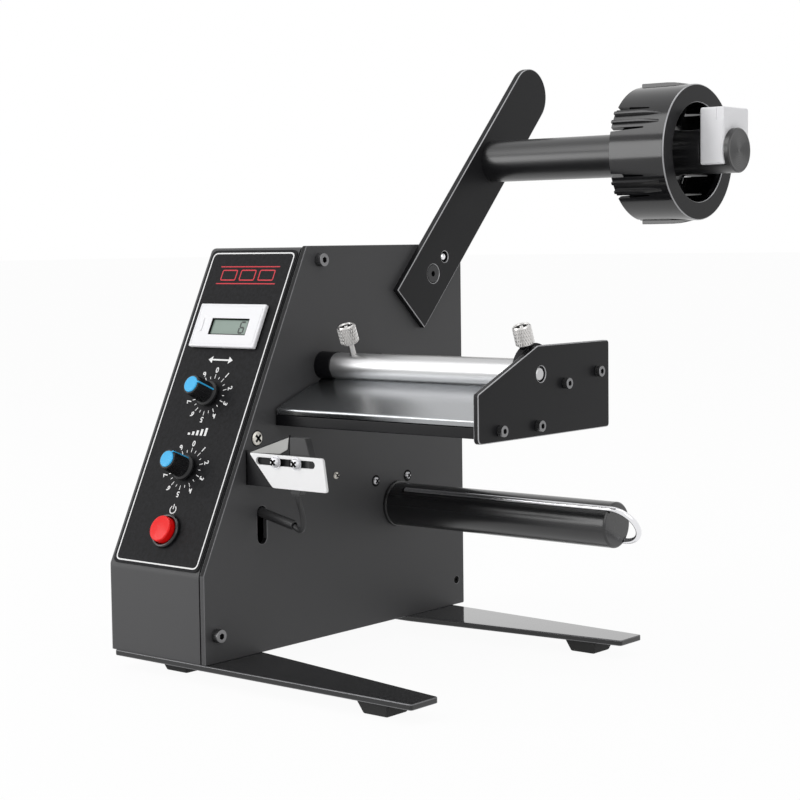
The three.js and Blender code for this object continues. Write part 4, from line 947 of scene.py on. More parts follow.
class DISPENSER_OT_panel(Operator):
    """Builds the overlay with its border, dials and marks"""

    bl_idname = "dispenser.panel"
    bl_label = "Control Panel"

    def execute(self, context):
        low, high = box_of("panel_overlay")
        sizes = housing()
        slant = math.hypot(sizes.height - sizes.slant_foot, sizes.slant_top)
        bottom, top = 1.0, slant - 2.2
        corner, thickness, edge = 4, 0.4, 0.08
        window_low, window_high = counter_window()
        holes = [rectangle(*window_low, *window_high)]
        for centre, radius in panel_holes():
            place = on_panel(centre)
            holes.append(circle(place.x, place.y, radius))
        outline = softened(rectangle(low.x, bottom, high.x, top), corner, 6, True)
        film = sheet("panel_film", outline, holes, OVERLAY_TOP - thickness, thickness, PANEL_FRAME, edge)
        dress(film, "overlay_film", "machine", "overlay", "panel_overlay")
        self.border(low.x, high.x, bottom, top)
        self.dials()
        self.label_marks()
        self.control_marks()
        return {"FINISHED"}

    def border(self, left, right, bottom, top):
        inset, width, corner = panel().border_inset, panel().border_width, 5

        def ring(by):
            return softened(rectangle(left + by, bottom + by, right - by, top - by), corner - by, 8, True)

        printed("border_line", ring(inset), [ring(inset + width)])

    def dials(self):
        sizes = panel()
        step = FULL_TURN / DIAL_STEPS
        half, minor_share = 0.22, 0.6
        for label in ("length", "speed"):
            centre = on_panel(joint_place(f"{label}_turn"))
            figures = []
            for value in range(DIAL_STEPS):
                turn = -value * step
                x = centre.x - sizes.numeral_radius * math.sin(turn)
                y = centre.y + sizes.numeral_radius * math.cos(turn)
                figures.append(numeral(str(value), x, y, sizes.numeral_height, turn))
            dress(joined(f"{label}_numerals", *figures), "print_white", "machine", "overlay")
            place = moved(PANEL_FRAME, centre.x, centre.y, OVERLAY_TOP)
            for kind, long, first in (("major", sizes.tick_long, 0),
                                      ("minor", sizes.tick_long * minor_share, step / 2)):
                tick = brick("tick", (-half, sizes.tick_inner, 0),
                             (half, sizes.tick_inner + long, sizes.print_rise))
                ticks = repeated_around(f"{label}_{kind}_ticks", tick, DIAL_STEPS, "print_white",
                                        place @ Matrix.Rotation(first, 4, "Z"))
                dress(ticks, "print_white", "machine", "overlay")

    def label_marks(self):
        """Three blank labels on their strip."""
        middle, height, pitch, line = PANEL_MIDDLE, 166.5, 14, 0.7
        wide, tall, corner = 11.5 / 2, 6.5 / 2, 1.2

        def label(x, by):
            outline = rectangle(x - wide + by, height - tall + by, x + wide - by, height + tall - by)
            return softened(outline, corner - by, 4, True)

        for i in range(3):
            x = middle + pitch * (i - 1)
            printed(f"label_mark_{i}", label(x, 0), [label(x, line)], "print_red")
        reach, half, gap = 22, 0.3, 5
        for i, y in enumerate((height + gap, height - gap)):
            printed(f"strip_line_{i}", rectangle(middle - reach, y - half, middle + reach, y + half), [],
                    "print_red")

    def control_marks(self):
        """A double arrow over one dial, rising bars over the other and a power sign over the button."""
        middle = PANEL_MIDDLE
        arrow_up, bars_up, power_up = 117, 74, 32.6
        half_arrow = [(9, 0), (6, -2), (6, -0.45), (-6, -0.45), (-6, -2)]
        printed("length_mark", [(middle + side * along, arrow_up + side * up)
                                for side in (1, -1) for along, up in half_arrow], [])
        pitch, half, first, growth = 3, 0.8, 1.2, 0.8
        for i in range(5):
            x = middle + pitch * (i - 2)
            printed(f"speed_mark_{i}", rectangle(x - half, bars_up, x + half, bars_up + first + growth * i),
                    [])
        start, end, steps = math.radians(125), math.radians(415), 28
        arc = []
        for radius, order in ((2.4, 1), (1.8, -1)):
            angles = [start + (end - start) * i / steps for i in range(steps + 1)][::order]
            arc += [(middle + radius * math.cos(a), power_up + radius * math.sin(a)) for a in angles]
        printed("power_ring", arc, [])
        printed("power_bar", rectangle(middle - 0.3, power_up + 0.2, middle + 0.3, power_up + 3), [])


class DISPENSER_OT_counter(Operator):
    """Builds the counter with its display"""

    bl_idname = "dispenser.counter"
    bl_label = "Counter"

    def execute(self, context):
        x, y, floor, top = -37.25, COUNTER_UP, 0.2, 2.7
        left, right, low, high = x - 12.25, x + 15.55, y - 5.6, y + 4

        def around_middle(name, wide, tall, start, end):
            return brick(name, (x - wide, y - tall, start), (x + wide, y + tall, end), PANEL_FRAME)

        def in_window(name, by, start, end):
            return brick(name, (left + by, low + by, top + start), (right - by, high - by, top + end),
                         PANEL_FRAME)

        case = baked(bevelled(around_middle("counter_case", 24.25, 12.5, floor, top), 0.7, 4))
        window = in_window("window", 0, -1.6, 1)
        line_out = around_middle("line_out", 22.9, 11.1, top - 0.15, top + 1)
        line_in = around_middle("line_in", 22.5, 10.7, top - 1, top + 2)
        case = minus(case, window, minus(line_out, line_in))
        dress(case, "white_plastic", "machine", "white_plastic", "counter_body")
        glass = bevelled(in_window("counter_glass", 0.5, -1.55, -1.15), 0.1, 2)
        dress(glass, "display_glass", "machine", "display", "counter_display")
        # Painted shade: a near-black liner on the walls of the recess above the glass
        window_shade = minus(in_window("counter_hood", 0.02, -1.58, -0.25), in_window("hood_in", 0.52, -3, 1))
        dress(window_shade, "screw_hollow", "machine", "display")
        self.digit(x + 10.6, (low + high) / 2, top - 1.15)
        tab_outline = softened(rectangle(x - 20.2, y - 4, x - 17.8, y + 4), 1, 5, True)
        tab = sheet("counter_tab", tab_outline, [], top, 0.4, PANEL_FRAME, 0.12)
        dress(tab, "white_plastic", "machine", "white_plastic")
        return {"FINISHED"}

    def digit(self, x, y, level):
        """Six of the seven segments, which show the figure 6."""
        wide, tall, thick, lean = 3.2, 6.2, 1.0, 0.12
        flat, standing = (wide / 2 - 0.25, thick / 2), (thick / 2, tall / 4 - 0.2)
        bars = []
        for side, share, half in ((0, 1, flat), (0, 0, flat), (0, -1, flat), (-1, 0.5, standing),
                                  (-1, -0.5, standing), (1, -0.5, standing)):
            cx = x + side * wide / 2 + lean * share * tall / 2
            cy = y + share * tall / 2
            bars.append(brick("segment", (cx - half[0], cy - half[1], level + 0.01),
                              (cx + half[0], cy + half[1], level + 0.05), PANEL_FRAME))
        dress(joined("counter_digit", *bars), "display_ink", "machine", "display")


class DISPENSER_OT_knobs(Operator):
    """Builds the two ribbed knobs with their caps and pointers"""

    bl_idname = "dispenser.knobs"
    bl_label = "Knobs"

    def execute(self, context):
        top, rise, rib_count = 13.2, 1.5, 36
        skirt = [(6.9, 0), (6.9, 1.3), (5.95, 1.9), (5.75, 2.2), (5.15, top)]
        bore = [(0, top), (0, 6.9), (3.3, 6.9)]
        disc = [(0, top), (4.4, top), (4.4, 13.6), (3.8, 13.95), (0, 14.0)]
        for label, value in (("length", -72), ("speed", -32)):
            centre = on_panel(joint_place(f"{label}_turn"))
            place = moved(PANEL_FRAME, centre.x, centre.y, rise)
            place = place @ Matrix.Rotation(math.radians(value), 4, "Z")
            body = f"{label}_dial"
            core = lathe(f"{label}_knob_core", [(3.3, 0), *softened(skirt, 0.35), *bore], place)
            ribs = repeated_around(f"{label}_knob_ribs", self.rib(), rib_count, "knob_plastic", place)
            dress(joined(f"{label}_knob_body", core, ribs), "knob_plastic", body, "gloss_black",
                  f"{label}_knob")
            cap = lathe(f"{label}_knob_disc", softened(disc, 0.25), place)
            dress(cap, "blue_plastic", body, "blue_cap", f"{label}_knob_cap")
            self.pointer(label, place, body)
        return {"FINISHED"}

    def rib(self):
        """A ridge that follows the slope of the knob's side."""
        low, high = 3, 12.2
        rib = prism("rib", [(5.1, 0.16), (5.55, 0.08), (5.55, -0.08), (5.1, -0.16)], low, high)
        for vertex in rib.data.vertices:
            share = (vertex.co.z / MM - low) / (high - low)
            vertex.co.x += (0.35 - 0.42 * share) * MM
        return rib

    def pointer(self, label, place, body):
        """A blue strip from the cap down the side of the knob."""
        half = 0.42
        outline = [(4.0, 13.96), (5.5, 13.5), (6.15, 2.2), (6.0, 1.9), (5.4, 2.2), (4.9, 13.0)]
        strip = prism(f"{label}_knob_pointer", outline, -half, half, place @ SECTION)
        dress(bevelled(strip, 0.12, 2), "blue_plastic", body, "blue_cap")


class DISPENSER_OT_button(Operator):
    """Builds the push button in its bezel"""

    bl_idname = "dispenser.button"
    bl_label = "Push Button"

    def execute(self, context):
        centre = on_panel(middle_of("power_button"))
        place = moved(PANEL_FRAME, centre.x, centre.y, 0.2)
        bezel = [(0, -21), (8, -21), (8, 0), (9.3, 0), (9.2, 1.2), (8.7, 2.0), (7.8, 2.0), (7.3, 1.5),
                 (7.3, -7.4), (0, -7.4)]
        dress(lathe("button_bezel", softened(bezel, 0.35), place), "gloss_plastic", "machine",
              "gloss_black", "button_housing")
        cap = [(0, -5.1), (7, -5.1), (7, 4.6), (6.8, 5.1), (6.3, 5.35), (3, 5.47), (0, 5.5)]
        dress(lathe("button_cap", softened(cap, 0.3), place), "red_plastic", "button", "red_button",
              "power_button")
        return {"FINISHED"}


class DISPENSER_OT_arm(Operator):
    """Builds the arm with its screw and pin"""

    bl_idname = "dispenser.arm"
    bl_label = "Unwind Arm"

    def execute(self, context):
        half, end, thick, steps = 16, 170, 4, 40
        screw_place, pin_place = (27.9, -1.4), (42.1, -2.7)
        tip = [(end + half * math.sin(math.pi * i / steps), -half * math.cos(math.pi * i / steps))
               for i in range(steps + 1)]
        holes = [circle(*pin_place, 3.1, SMALL), circle(*screw_place, 5.3)]
        arm = sheet("arm_blade", [(0, -half), *tip, (0, half)], holes, 0, thick, ARM_FRAME, 0.45)
        # The arm's bevels get a painted edge highlight
        dress(arm, "arm_paint", "machine", "arm_black", "unwind_arm", edges=(("bare_edge", slanting(0)),))
        seat = moved(ARM_FRAME, *screw_place)
        screw = [(0, -10), (2.5, -10), (2.5, 1.5), (5.0, 3.7), (5.0, 3.9), (0, 3.9)]
        head = lathe("arm_screw_turned", softened(screw, 0.2), seat, FINE)
        collar = lathe("arm_seat", [(2.8, 0.6), (5.28, 0.6), (5.28, 3.4), (2.8, 1.3)], seat, FINE)
        dress(minus(head, plug(1.75, 1.9, 5, seat, HEX)), "bright_black", "machine", "black_steel",
              "arm_screw")
        dress(collar, "arm_paint", "machine", "arm_black")
        pin = [(0, -7), (2.4, -7), (2.4, 2.0), (2.1, 2.9), (1.3, 3.5), (0, 3.7)]
        dome = lathe("arm_pin_dome", softened(pin, 0.4, 4), moved(ARM_FRAME, *pin_place), FINE)
        dress(dome, "wire_chrome", "machine", "chrome", "arm_pin")
        return {"FINISHED"}


class DISPENSER_OT_shaft(Operator):
    """Builds the unwind shaft with its notch and turned end"""

    bl_idname = "dispenser.shaft"
    bl_label = "Unwind Shaft"

    def execute(self, context):
        self.shaft()
        self.retainer()
        return {"FINISHED"}

    def shaft(self):
        end, edge, ring_deep = 168, 0.6, 0.12
        radius = rollers().shaft_radius
        rings = [(radius - 1.6 - 0.9 * i - 0.45 * side, end - ring_deep * side)
                 for i in range(11) for side in (0, 1)]
        profile = [(0, 0.3), (2.5, 0.3), (2.5, 4), (radius, 4), (radius, end - edge), (radius - edge, end)]
        profile += [ring for ring in rings if ring[0] > 0.5] + [(0, end - ring_deep)]
        shaft = lathe("unwind_shaft_turned", profile, roller_frame("core_spin"))
        low, high, shelf, spare = 149.5, 165.0, -radius + 4.3, 4
        notch = [(low, radius + spare), (low, shelf + 1.6), (low + 0.5, shelf + 0.5), (low + 1.6, shelf),
                 (high, shelf), (high, radius + spare)]
        centre = joint_place("core_spin")
        tool = prism("notch", notch, -radius - spare, radius + spare,
                     upright(Vector((HOME.x, centre.y, centre.z))))
        dress(minus(shaft, tool), "anodised_black", "machine", "black_steel", "unwind_shaft", angle=25)

    def retainer(self):
        low, high = box_of("hub_retainer")
        block = baked(bevelled(brick("retainer_block", low, high, HOME_FRAME), 1.3, 4))
        groove = brick("groove", (low.x + 10.2, low.y - 1, high.z - 7),
                       (high.x + 1, low.y + 0.5, high.z + 1), HOME_FRAME)
        dress(minus(block, groove), "white_plastic", "retainer", "white_plastic", "hub_retainer")


class DISPENSER_OT_hub(Operator):
    """Builds the core hub with its ribbed spring fingers"""

    bl_idname = "dispenser.hub"
    bl_label = "Core Hub"

    def execute(self, context):
        low, high = box_of("core_hub")
        rear, front = low.x, high.x
        place = roller_frame("core_spin", ALONG_Y)
        radius, shaft = rollers().hub_radius, rollers().shaft_radius
        wall, face_inner, face, chamfer = 2.8, 26.8, 4.0, 0.6
        count = rollers().hub_fingers
        slot_long = (front - rear) * 0.6
        turn = place @ Matrix.Rotation(FULL_TURN / count / 2, 4, "Z")
        ring_profile = [(radius - wall, rear), (radius, rear), (radius, front - chamfer),
                        (radius - chamfer, front), (face_inner + 0.5, front), (face_inner, front - 0.5),
                        (face_inner, front - face), (radius - wall, front - face)]
        ring = lathe("core_hub_moulding", softened(ring_profile, 0.35, 3, True), place, HUB_SIDES)
        parts = []
        for side in (-1, 1):
            wedge = [(side * 5.5, rear - 2), (side * 7.8, rear - 2), (side * 6.5, rear + slot_long),
                     (side * 5.6, rear + slot_long)]
            slot = baked(prism("slot", wedge, radius - 6, radius + 4, SECTION))
            ring = minus(ring, repeated_around("slots", slot, count, "gloss_plastic", turn))
            rib = baked(bevelled(self.rib(side * 2.7, rear, (front - rear) * 0.86, radius), 0.3, 2))
            parts.append(repeated_around("ribs", rib, count, "gloss_plastic", turn))
        sleeve_end = rear + slot_long
        sleeve = [(shaft + 0.3, rear), (shaft + 2.9, rear), (shaft + 2.9, sleeve_end),
                  (shaft + 0.3, sleeve_end)]
        parts.append(lathe("sleeve", softened(sleeve, 0.4, 3, True), place))
        inner = shaft + 1.5
        spoke = brick("spoke", (inner, -1.3, rear + 4), (radius - wall + 0.5, 1.3, (rear + front) / 2))
        spoke = baked(bevelled(spoke, 0.3, 2))
        parts.append(repeated_around("spokes", spoke, count, "gloss_plastic", place))
        rim = radius - wall - 1.6
        disc = [(inner, rear + 4.2), (rim, rear + 4.2), (rim, rear + 6.4), (inner, rear + 6.4)]
        parts.append(lathe("web", softened(disc, 0.3, 2, True), place))
        # The face's outer chamfer gets a painted highlight
        face_edge = HOME.x + (front - 0.7) * MM
        dress(joined("core_hub_moulding", ring, *parts), "gloss_plastic", "core", "gloss_black", "core_hub",
              edges=(("bare_edge", lambda face: face.center.x > face_edge and slanting(0)(face)),
                     ("satin_plastic", lambda face: face.center.x > face_edge and face.normal.x > 0.9)))
        return {"FINISHED"}

    def rib(self, offset, rear, long, radius):
        """A ridge along a finger that sinks into it towards the front."""
        half, foot, rise = 0.85, radius - 0.1, 1.75
        nose = [(rear + 0.2, radius - 1.5), (rear + long, radius - 1.5), (rear + long, foot)]
        nose += [(rear + long * (1 - t), foot + rise * math.sin(math.pi / 2 * min(1, t * 2.2)))
                 for t in (0.06, 0.12, 0.2, 0.3, 0.45)]
        nose += [(rear + 0.5, radius + 1.7), (rear + 0.2, radius + 1.4)]
        across = basis(UP, ALONG_X, UP.cross(ALONG_X))
        return baked(prism("rib", nose, offset - half, offset + half, across))


class DISPENSER_OT_label_bar(Operator):
    """Builds the chrome bar, its bush and the rods behind it"""

    bl_idname = "dispenser.label_bar"
    bl_label = "Label Bar"

    def execute(self, context):
        place = axis_frame(at(0, *BAR_PLACE), ALONG_X)
        end = PATH_WIDE - PLAY
        bar = lathe("label_bar_turned", softened([(0, 0.2), (7, 0.2), (7, end), (3.55, end), (3.55, end + 2),
                                                 (2.6, end + 2.7), (0, end + 2.8)], 0.25), place)
        hole = plug(1.75, 0, 9, axis_frame(at(23.8, *BAR_PLACE), THUMB_OUT), SMALL)
        dress(minus(bar, hole), "chrome_surface", "machine", "chrome", "label_bar")
        bush = [(7.03, 0.05), (7.45, 0.05), (7.45, 10.4), (7.3, 10.8), (7.03, 10.8)]
        dress(lathe("bar_bush", softened(bush, 0.3, 3, True), place), "black_paint", "machine", "arm_black")
        for node, rod_place in zip(("front_rod", "rear_rod"), ROD_PLACES):
            rod = lathe(f"{node}_turned", softened([(0, PLAY), (5, PLAY), (5, end), (0, end)], 0.4),
                        axis_frame(at(0, *rod_place), ALONG_X), FINE)
            dress(rod, "zinc_steel_surface", "machine", "zinc_steel", node)
        return {"FINISHED"}


class DISPENSER_OT_thumb_screws(Operator):
    """Builds the two knurled thumb screws and the guide ring"""

    bl_idname = "dispenser.thumb_screws"
    bl_label = "Thumb Screws"

    def execute(self, context):
        for side, stem, head, share in (("left", 3.0, 13.4, 1.08), ("right", 7.4, 15.5, 1.03)):
            place = axis_frame(joint_place(f"{side}_thumb_turn"), THUMB_OUT, ALONG_X)
            self.thumb_screw(side, place @ Matrix.Diagonal((share, share, 1, 1)), stem, head)
        self.ring()
        return {"FINISHED"}

    def thumb_screw(self, side, place, stem, head):
        """A stem and a knurled head that is hollow on top."""
        top = head + 10.2
        profile = [(0, stem), (1.2, stem), (1.5, stem + 0.4), (1.5, head), (3.8, head), (4.3, head + 0.6),
                   (4.3, top - 0.7), (3.9, top), (3.45, top), (3.25, top - 0.9), (0.95, top - 1.0),
                   (0.8, top - 0.35), (0, top - 0.25)]
        parts = [lathe(f"{side}_thumb_turned", softened(profile, 0.12), place)]
        # Painted shade: a near-black disc on the floor of the hollow
        floor = [(1.0, top - 0.97), (3.2, top - 0.88), (3.2, top - 0.8), (1.0, top - 0.9)]
        dress(lathe(f"{side}_thumb_hollow", floor, place, FINE), "screw_hollow", f"{side}_thumb",
              "bright_steel")
        for lean in (-0.6, 0.6):
            ridge = twisted(prism("ridge", [(4.15, 0.3), (4.62, 0.05), (4.62, -0.05), (4.15, -0.3)],
                                  head + 0.8, top - 0.9), lean)
            parts.append(repeated_around("ridges", ridge, rollers().knurls, "knurled_steel", place))
        dress(joined(f"{side}_thumb_turned", *parts), "knurled_steel", f"{side}_thumb", "bright_steel",
              f"{side}_thumb_screw")

    def ring(self):
        low, high = box_of("guide_ring")
        inner, outer = 7.4, 15.2
        profile = [(inner, low.x), (outer, low.x), (outer, high.x), (inner, high.x)]
        ring = lathe("guide_ring_turned", softened(profile, 0.5, 4, True),
                     axis_frame(at(0, *BAR_PLACE), ALONG_X))
        below = brick("below", (90, -60, -40), (190, 10, 0.4), LABEL_FRAME)
        hole = plug(1.7, 3, 20, axis_frame(joint_place("right_thumb_turn"), THUMB_OUT), SMALL)
        dress(minus(ring, below, hole), "black_paint", "ring", "arm_black", "guide_ring")


def twisted(ridge, turn):
    """Turns the far end of an upright ridge about local Z, and what lies between evenly."""
    shape = bmesh.new()
    shape.from_mesh(ridge.data)
    low = min(vertex.co.z for vertex in shape.verts)
    high = max(vertex.co.z for vertex in shape.verts)
    standing = [edge for edge in shape.edges if abs(edge.verts[0].co.z - edge.verts[1].co.z) > 1e-6]
    bmesh.ops.subdivide_edges(shape, edges=standing, cuts=5)
    for vertex in shape.verts:
        share = (vertex.co.z - low) / (high - low)
        vertex.co = Matrix.Rotation(turn * share, 3, "Z") @ vertex.co
    shape.to_mesh(ridge.data)
    shape.free()
    return ridge


class DISPENSER_OT_label_plate(Operator):
    """Builds the polished label plate and its support"""

    bl_idname = "dispenser.label_plate"
    bl_label = "Label Plate"

    def execute(self, context):
        thick, long, lip, margin = 1.8, 39, 3.2, 1.5
        side = basis(LABEL_ALONG, LABEL_OFF, ALONG_X, at(0, *LABEL_PLACE))
        profile = [(0, 0), (0, -lip), (thick, -lip), (thick, -thick), (long, -thick), (long, 0)]
        fold = [1.3] + [0.2] * (len(profile) - 1)
        plate = prism("label_plate_mirror", softened(profile, fold, 6, True), margin, PATH_WIDE - margin,
                      side)
        # The plate's end bevels get a painted highlight
        dress(bevelled(plate, 0.22), "mirror_steel", "machine", "polished_steel", "label_plate",
              edges=(("bright_edge", slanting(0)),))
        self.support()
        return {"FINISHED"}

    def support(self):
        """A channel under the plate, with a lip behind the plate's front edge."""
        drop, web = 2.1 / math.cos(LABEL_ANGLE), 3 / math.cos(LABEL_ANGLE)
        front, front_in, rear_in, rear = 54.35, 61.85, 85.25, 92.75
        bottom, lip_bottom, lip_rear = 117.8, 123.3, 56.35

        def top(y):
            return LABEL_PLACE[1] + (y - LABEL_PLACE[0]) * math.tan(LABEL_ANGLE) - drop

        outline = [(front, bottom), (front_in, bottom), (front_in, top(front_in) - web),
                   (rear_in, top(rear_in) - web), (rear_in, bottom), (rear, bottom), (rear, top(rear) - web),
                   (lip_rear, top(lip_rear)), (lip_rear, lip_bottom), (front, lip_bottom)]
        support = prism("plate_support_bar", outline, PLAY, PATH_WIDE - PLAY, PLATE_FRAME)
        dress(bevelled(support, 0.4), "black_paint", "machine", "arm_black", "plate_support")


class DISPENSER_OT_end_plate(Operator):
    """Builds the end plate of the label path"""

    bl_idname = "dispenser.end_plate"
    bl_label = "End Plate"

    def execute(self, context):
        outline = [(41.2, 116.8), (151.6, 116.8), (151.6, 161.2), (89.4, 161.2), (41.2, 140.4)]
        window = circle(*BAR_PLACE, 3.9, SMALL)
        plate = sheet("end_plate_blade", softened(outline, [3, 2, 2, 1, 1], 6, True), [window], PATH_WIDE,
                      END_THICK, PLATE_FRAME, 0.4)
        # The plate's bevels get a painted edge highlight
        dress(plate, "black_paint", "machine", "arm_black", "end_plate", edges=(("bare_edge", slanting(0)),))
        return {"FINISHED"}


class DISPENSER_OT_spindle(Operator):
    """Builds the rewind spindle and its wire clip"""

    bl_idname = "dispenser.spindle"
    bl_label = "Rewind Spindle"

    def execute(self, context):
        place = roller_frame("spindle_spin", leaning(math.radians(128))[0])
        skin = [(12.8, 0.3), (12.8, 1.8), (12, 1.8), (12, 146.2), (11.2, 147), (0, 147)]
        bore, bore_end = 4.3, 60
        spindle = lathe("rewind_spindle_turned", [(bore, 0.3), *softened(skin, 0.3), (0, bore_end),
                                                  (bore, bore_end)], place)
        inner, outer, half = 9.9, 14, 1.85
        grooves = [prism("groove", [(side * inner, -half), (side * outer, -half), (side * outer, half),
                                    (side * inner, half)], 10.2, 150, place) for side in (-1, 1)]
        dress(minus(spindle, *grooves), "anodised_black", "spindle", "black_steel", "rewind_spindle",
              angle=25)
        offset, start, straight, bend, steps = 11.5, 12, 30, 147.6, 24
        arc = [(offset * math.cos(math.pi * i / steps), 0, bend + offset * math.sin(math.pi * i / steps))
               for i in range(steps + 1)]
        path = [(offset, 0, start), (offset, 0, start + straight), *arc, (-offset, 0, start + straight),
                (-offset, 0, start)]
        clip = sweep("spindle_clip_wire", path, rollers().clip_radius, place, smooth=False)
        dress(clip, "wire_chrome", "clip", "chrome", "spindle_clip")
        return {"FINISHED"}


class DISPENSER_OT_sensor(Operator):
    """Builds the sensor with its bracket, slotted plate, sleeve and lead"""

    bl_idname = "dispenser.sensor"
    bl_label = "Label Sensor"

    def execute(self, context):
        self.bracket()
        self.head()
        self.gate()
        self.lead()
        return {"FINISHED"}

    def bracket(self):
        """A folded sheet: an upright wing, a foot on the side plate and a flap on the wing, whose light
        colour is a painted highlight.
        """
        thick, edge, back = 1.5, 0.25, SENSOR_BACK
        face = upright(at(0, back, 0))
        wing = sheet("wing", [(PLAY, 89), (30.9, 89), (30.9, 116.3), (3.4, 107.1), (PLAY, 106.8)], [],
                     -thick, thick, face, edge)
        foot = brick("foot", (PLAY, back, 89), (PLAY + thick, back + 27, 106), HOME_FRAME)
        foot = baked(bevelled(foot, edge, 2))
        flap = sheet("flap", [(3.3, 105.9), (24.6, 106.5), (29.8, 109), (30.8, 115.1)], [], 0, 0.28, face,
                     0.06)
        dress(joined("sensor_bracket_wing", wing, foot), "arm_paint", "machine", "arm_black",
              "sensor_bracket")
        dress(flap, "flap_paint", "machine", "arm_black")

    def head(self):
        back = SENSOR_BACK
        outline = [(31.1, 86.3), (37, 86.3), (44.5, 97), (44.5, 106.5), (41.6, 115.2), (31.1, 115.2)]
        case = prism("sensor_head_case", outline, -4.8, 0, upright(at(0, back, 0)))
        case = baked(bevelled(case, 0.35))
        line = brick("line", (30, back - 1, 106.2), (46, back + 0.3, 106.7), HOME_FRAME)
        gland = brick("gland", (31.4, back + 0.5, 85.6), (36.7, back + 4.4, 88), HOME_FRAME)
        piece = joined("sensor_head_case", minus(case, line), baked(bevelled(gland, 0.3, 2)))
        dress(piece, "sleeve_plastic", "machine", "arm_black", "sensor_head")

    def gate(self):
        outline = [(20.5, 89), (57.5, 89), (54.9, 106), (4.3, 106)]
        slot = [(x, z) for z, x in stadium(GATE_SLOT_UP, 9.2, 49.5, 1.9)][::-1]
        plate = sheet("gate_plate_blade", softened(outline, 1.6, 5, True), [slot], 0, 1.5,
                      upright(at(0, SENSOR_BACK - 0.3, 0)), 0.2)
        dress(plate, "gate_steel", "gate", "bright_steel", "gate_plate")

    def lead(self):
        """The lead comes through its sleeve, turns up and enters the head from below."""
        tilt = math.tan(math.radians(12))
        y, z = LEAD_PLACE
        tube = softened([(1.7, -10.5), (2.6, -10.5), (2.6, 23.5), (1.7, 23.5)], 0.35, 3, True)
        sleeve = lathe("lead_sleeve_tube", tube, axis_frame(at(0, y, z), Vector((1, 0, -tilt))), FINE)
        dress(sleeve, "sleeve_plastic", "machine", "rubber", "lead_sleeve")
        straight = [(x, y, z - x * tilt) for x in (-16, 0, 12, 22.5)]
        loop = [(27.6, 42, 65.4), (31.2, 41, 68.2), (31.6, 40, 74), (32.4, 37, 80), (34, 34, 84),
                (34, 34, 86.2)]
        cable = sweep("sensor_lead_cable", [*straight, *loop], 1.4, HOME_FRAME)
        dress(cable, "sleeve_plastic", "machine", "rubber", "sensor_lead")


class DISPENSER_OT_screws(Operator):
    """Builds the screws of the housing, the end plate and the sensor"""

    bl_idname = "dispenser.screws"
    bl_label = "Screws"

    def execute(self, context):
        end = PATH_WIDE + END_THICK
        self.cap_screws("cover_screws", self.on_plate(0.05, (8, 14.4), (90.2, 203.4)),
                        (3.5, 4, 2, 9, 1.75, 2), "cover_screw_1", "cover_screw_3")
        self.cap_screws("end_screws", self.on_plate(end + 0.05, *ROD_PLACES, (58.1, 122.1), (89, 122.1)),
                        (2.75, 3, 1.5, 12, 1.44, 2), "end_screw_1", "end_screw_2", "end_screw_3",
                        "end_screw_4")
        # The grub screw sits down in its hole and is painted near black as shade
        place = axis_frame(at(0, *REAR_SCREW), ALONG_X)
        grub = lathe("cover_grub", softened([(0, -9), (1.95, -9), (1.95, -0.3), (0, -0.3)], 0.2), place,
                     SMALL)
        dress(minus(grub, plug(1, -2, 1, place, HEX)), "screw_hollow", "machine", "black_steel",
              "cover_screw_2")
        lift = 0.02
        large = self.on_plate(lift, (40.3, 112.25))
        small = self.on_plate(lift, (134.2, 80.4), (161.8, 80.65))
        gate = [(at(x, SENSOR_BACK - 1.85, GATE_SLOT_UP), -ALONG_Y) for x in (23.1, 37.3)]
        self.cross_screws("bracket_screw", large, 3.6, 1.0, "cream_zinc")
        self.seats("bracket_screw_seat", large, 3.55, 4.1)
        self.cross_screws("motor_screw", self.on_plate(lift, (101.05, 86.8)), 1.9, 1.2, "cream_zinc")
        self.cross_screws("drive_screws", small, 2.2, 1.3, "bright_steel")
        self.seats("drive_screw_seats", small, 2.15, 3.2)
        self.cross_screws("gate_screws", gate, 2.75, 1.9, "bright_steel", "gate_screw_1", "gate_screw_2",
                          washer=3.4)
        return {"FINISHED"}

    def on_plate(self, x, *places):
        """Seats of screws that face right, at a distance from the side plate's outer face."""
        return [(at(x, y, z), ALONG_X) for y, z in places]

    def cap_screws(self, name, places, sizes, *nodes):
        """Cap screws, with painted shade on the floor of their sockets."""
        cap = socket_screw(*sizes)
        dress(repeated_on_places(name, cap, places, "black_oxide"), "black_oxide", "machine", "black_steel",
              *nodes)
        _, height, _, _, key_radius, key_deep = sizes
        floor = height - key_deep + 0.02
        hollow = plug(key_radius - 0.03, floor, floor + 0.4, HERE, HEX)
        socket_shades = repeated_on_places(f"{name}_hollow", hollow, places, "screw_hollow")
        dress(socket_shades, "screw_hollow", "machine", "black_steel")

    def cross_screws(self, name, places, radius, height, material, *nodes, washer=0.0):
        """Pan head screws, with painted shade in their cross recesses."""
        item = cross_screw(radius, height, 1.4, 3, washer)
        dress(repeated_on_places(name, item, places, material), material, "machine", "bright_steel", *nodes)
        top = height + (radius * WASHER_SHARE if washer else 0)
        arm, half, rise = radius * 0.66, radius * 0.17, height * 0.15
        cross = joined("bars", *crossed_bars(arm, half, top - rise, top + rise))
        hollow = repeated_on_places(f"{name}_hollow", cross, places, "screw_hollow")
        dress(hollow, "screw_hollow", "machine", "bright_steel")

    def seats(self, name, places, inner, outer):
        """Rings of painted shadow around screw heads."""
        seat = lathe("seat", [(inner, 0), (outer, 0), (outer, 0.08), (inner, 0.08)], HERE, MEDIUM)
        dress(repeated_on_places(name, seat, places, "screw_hollow"), "screw_hollow", "machine",
              "black_steel")


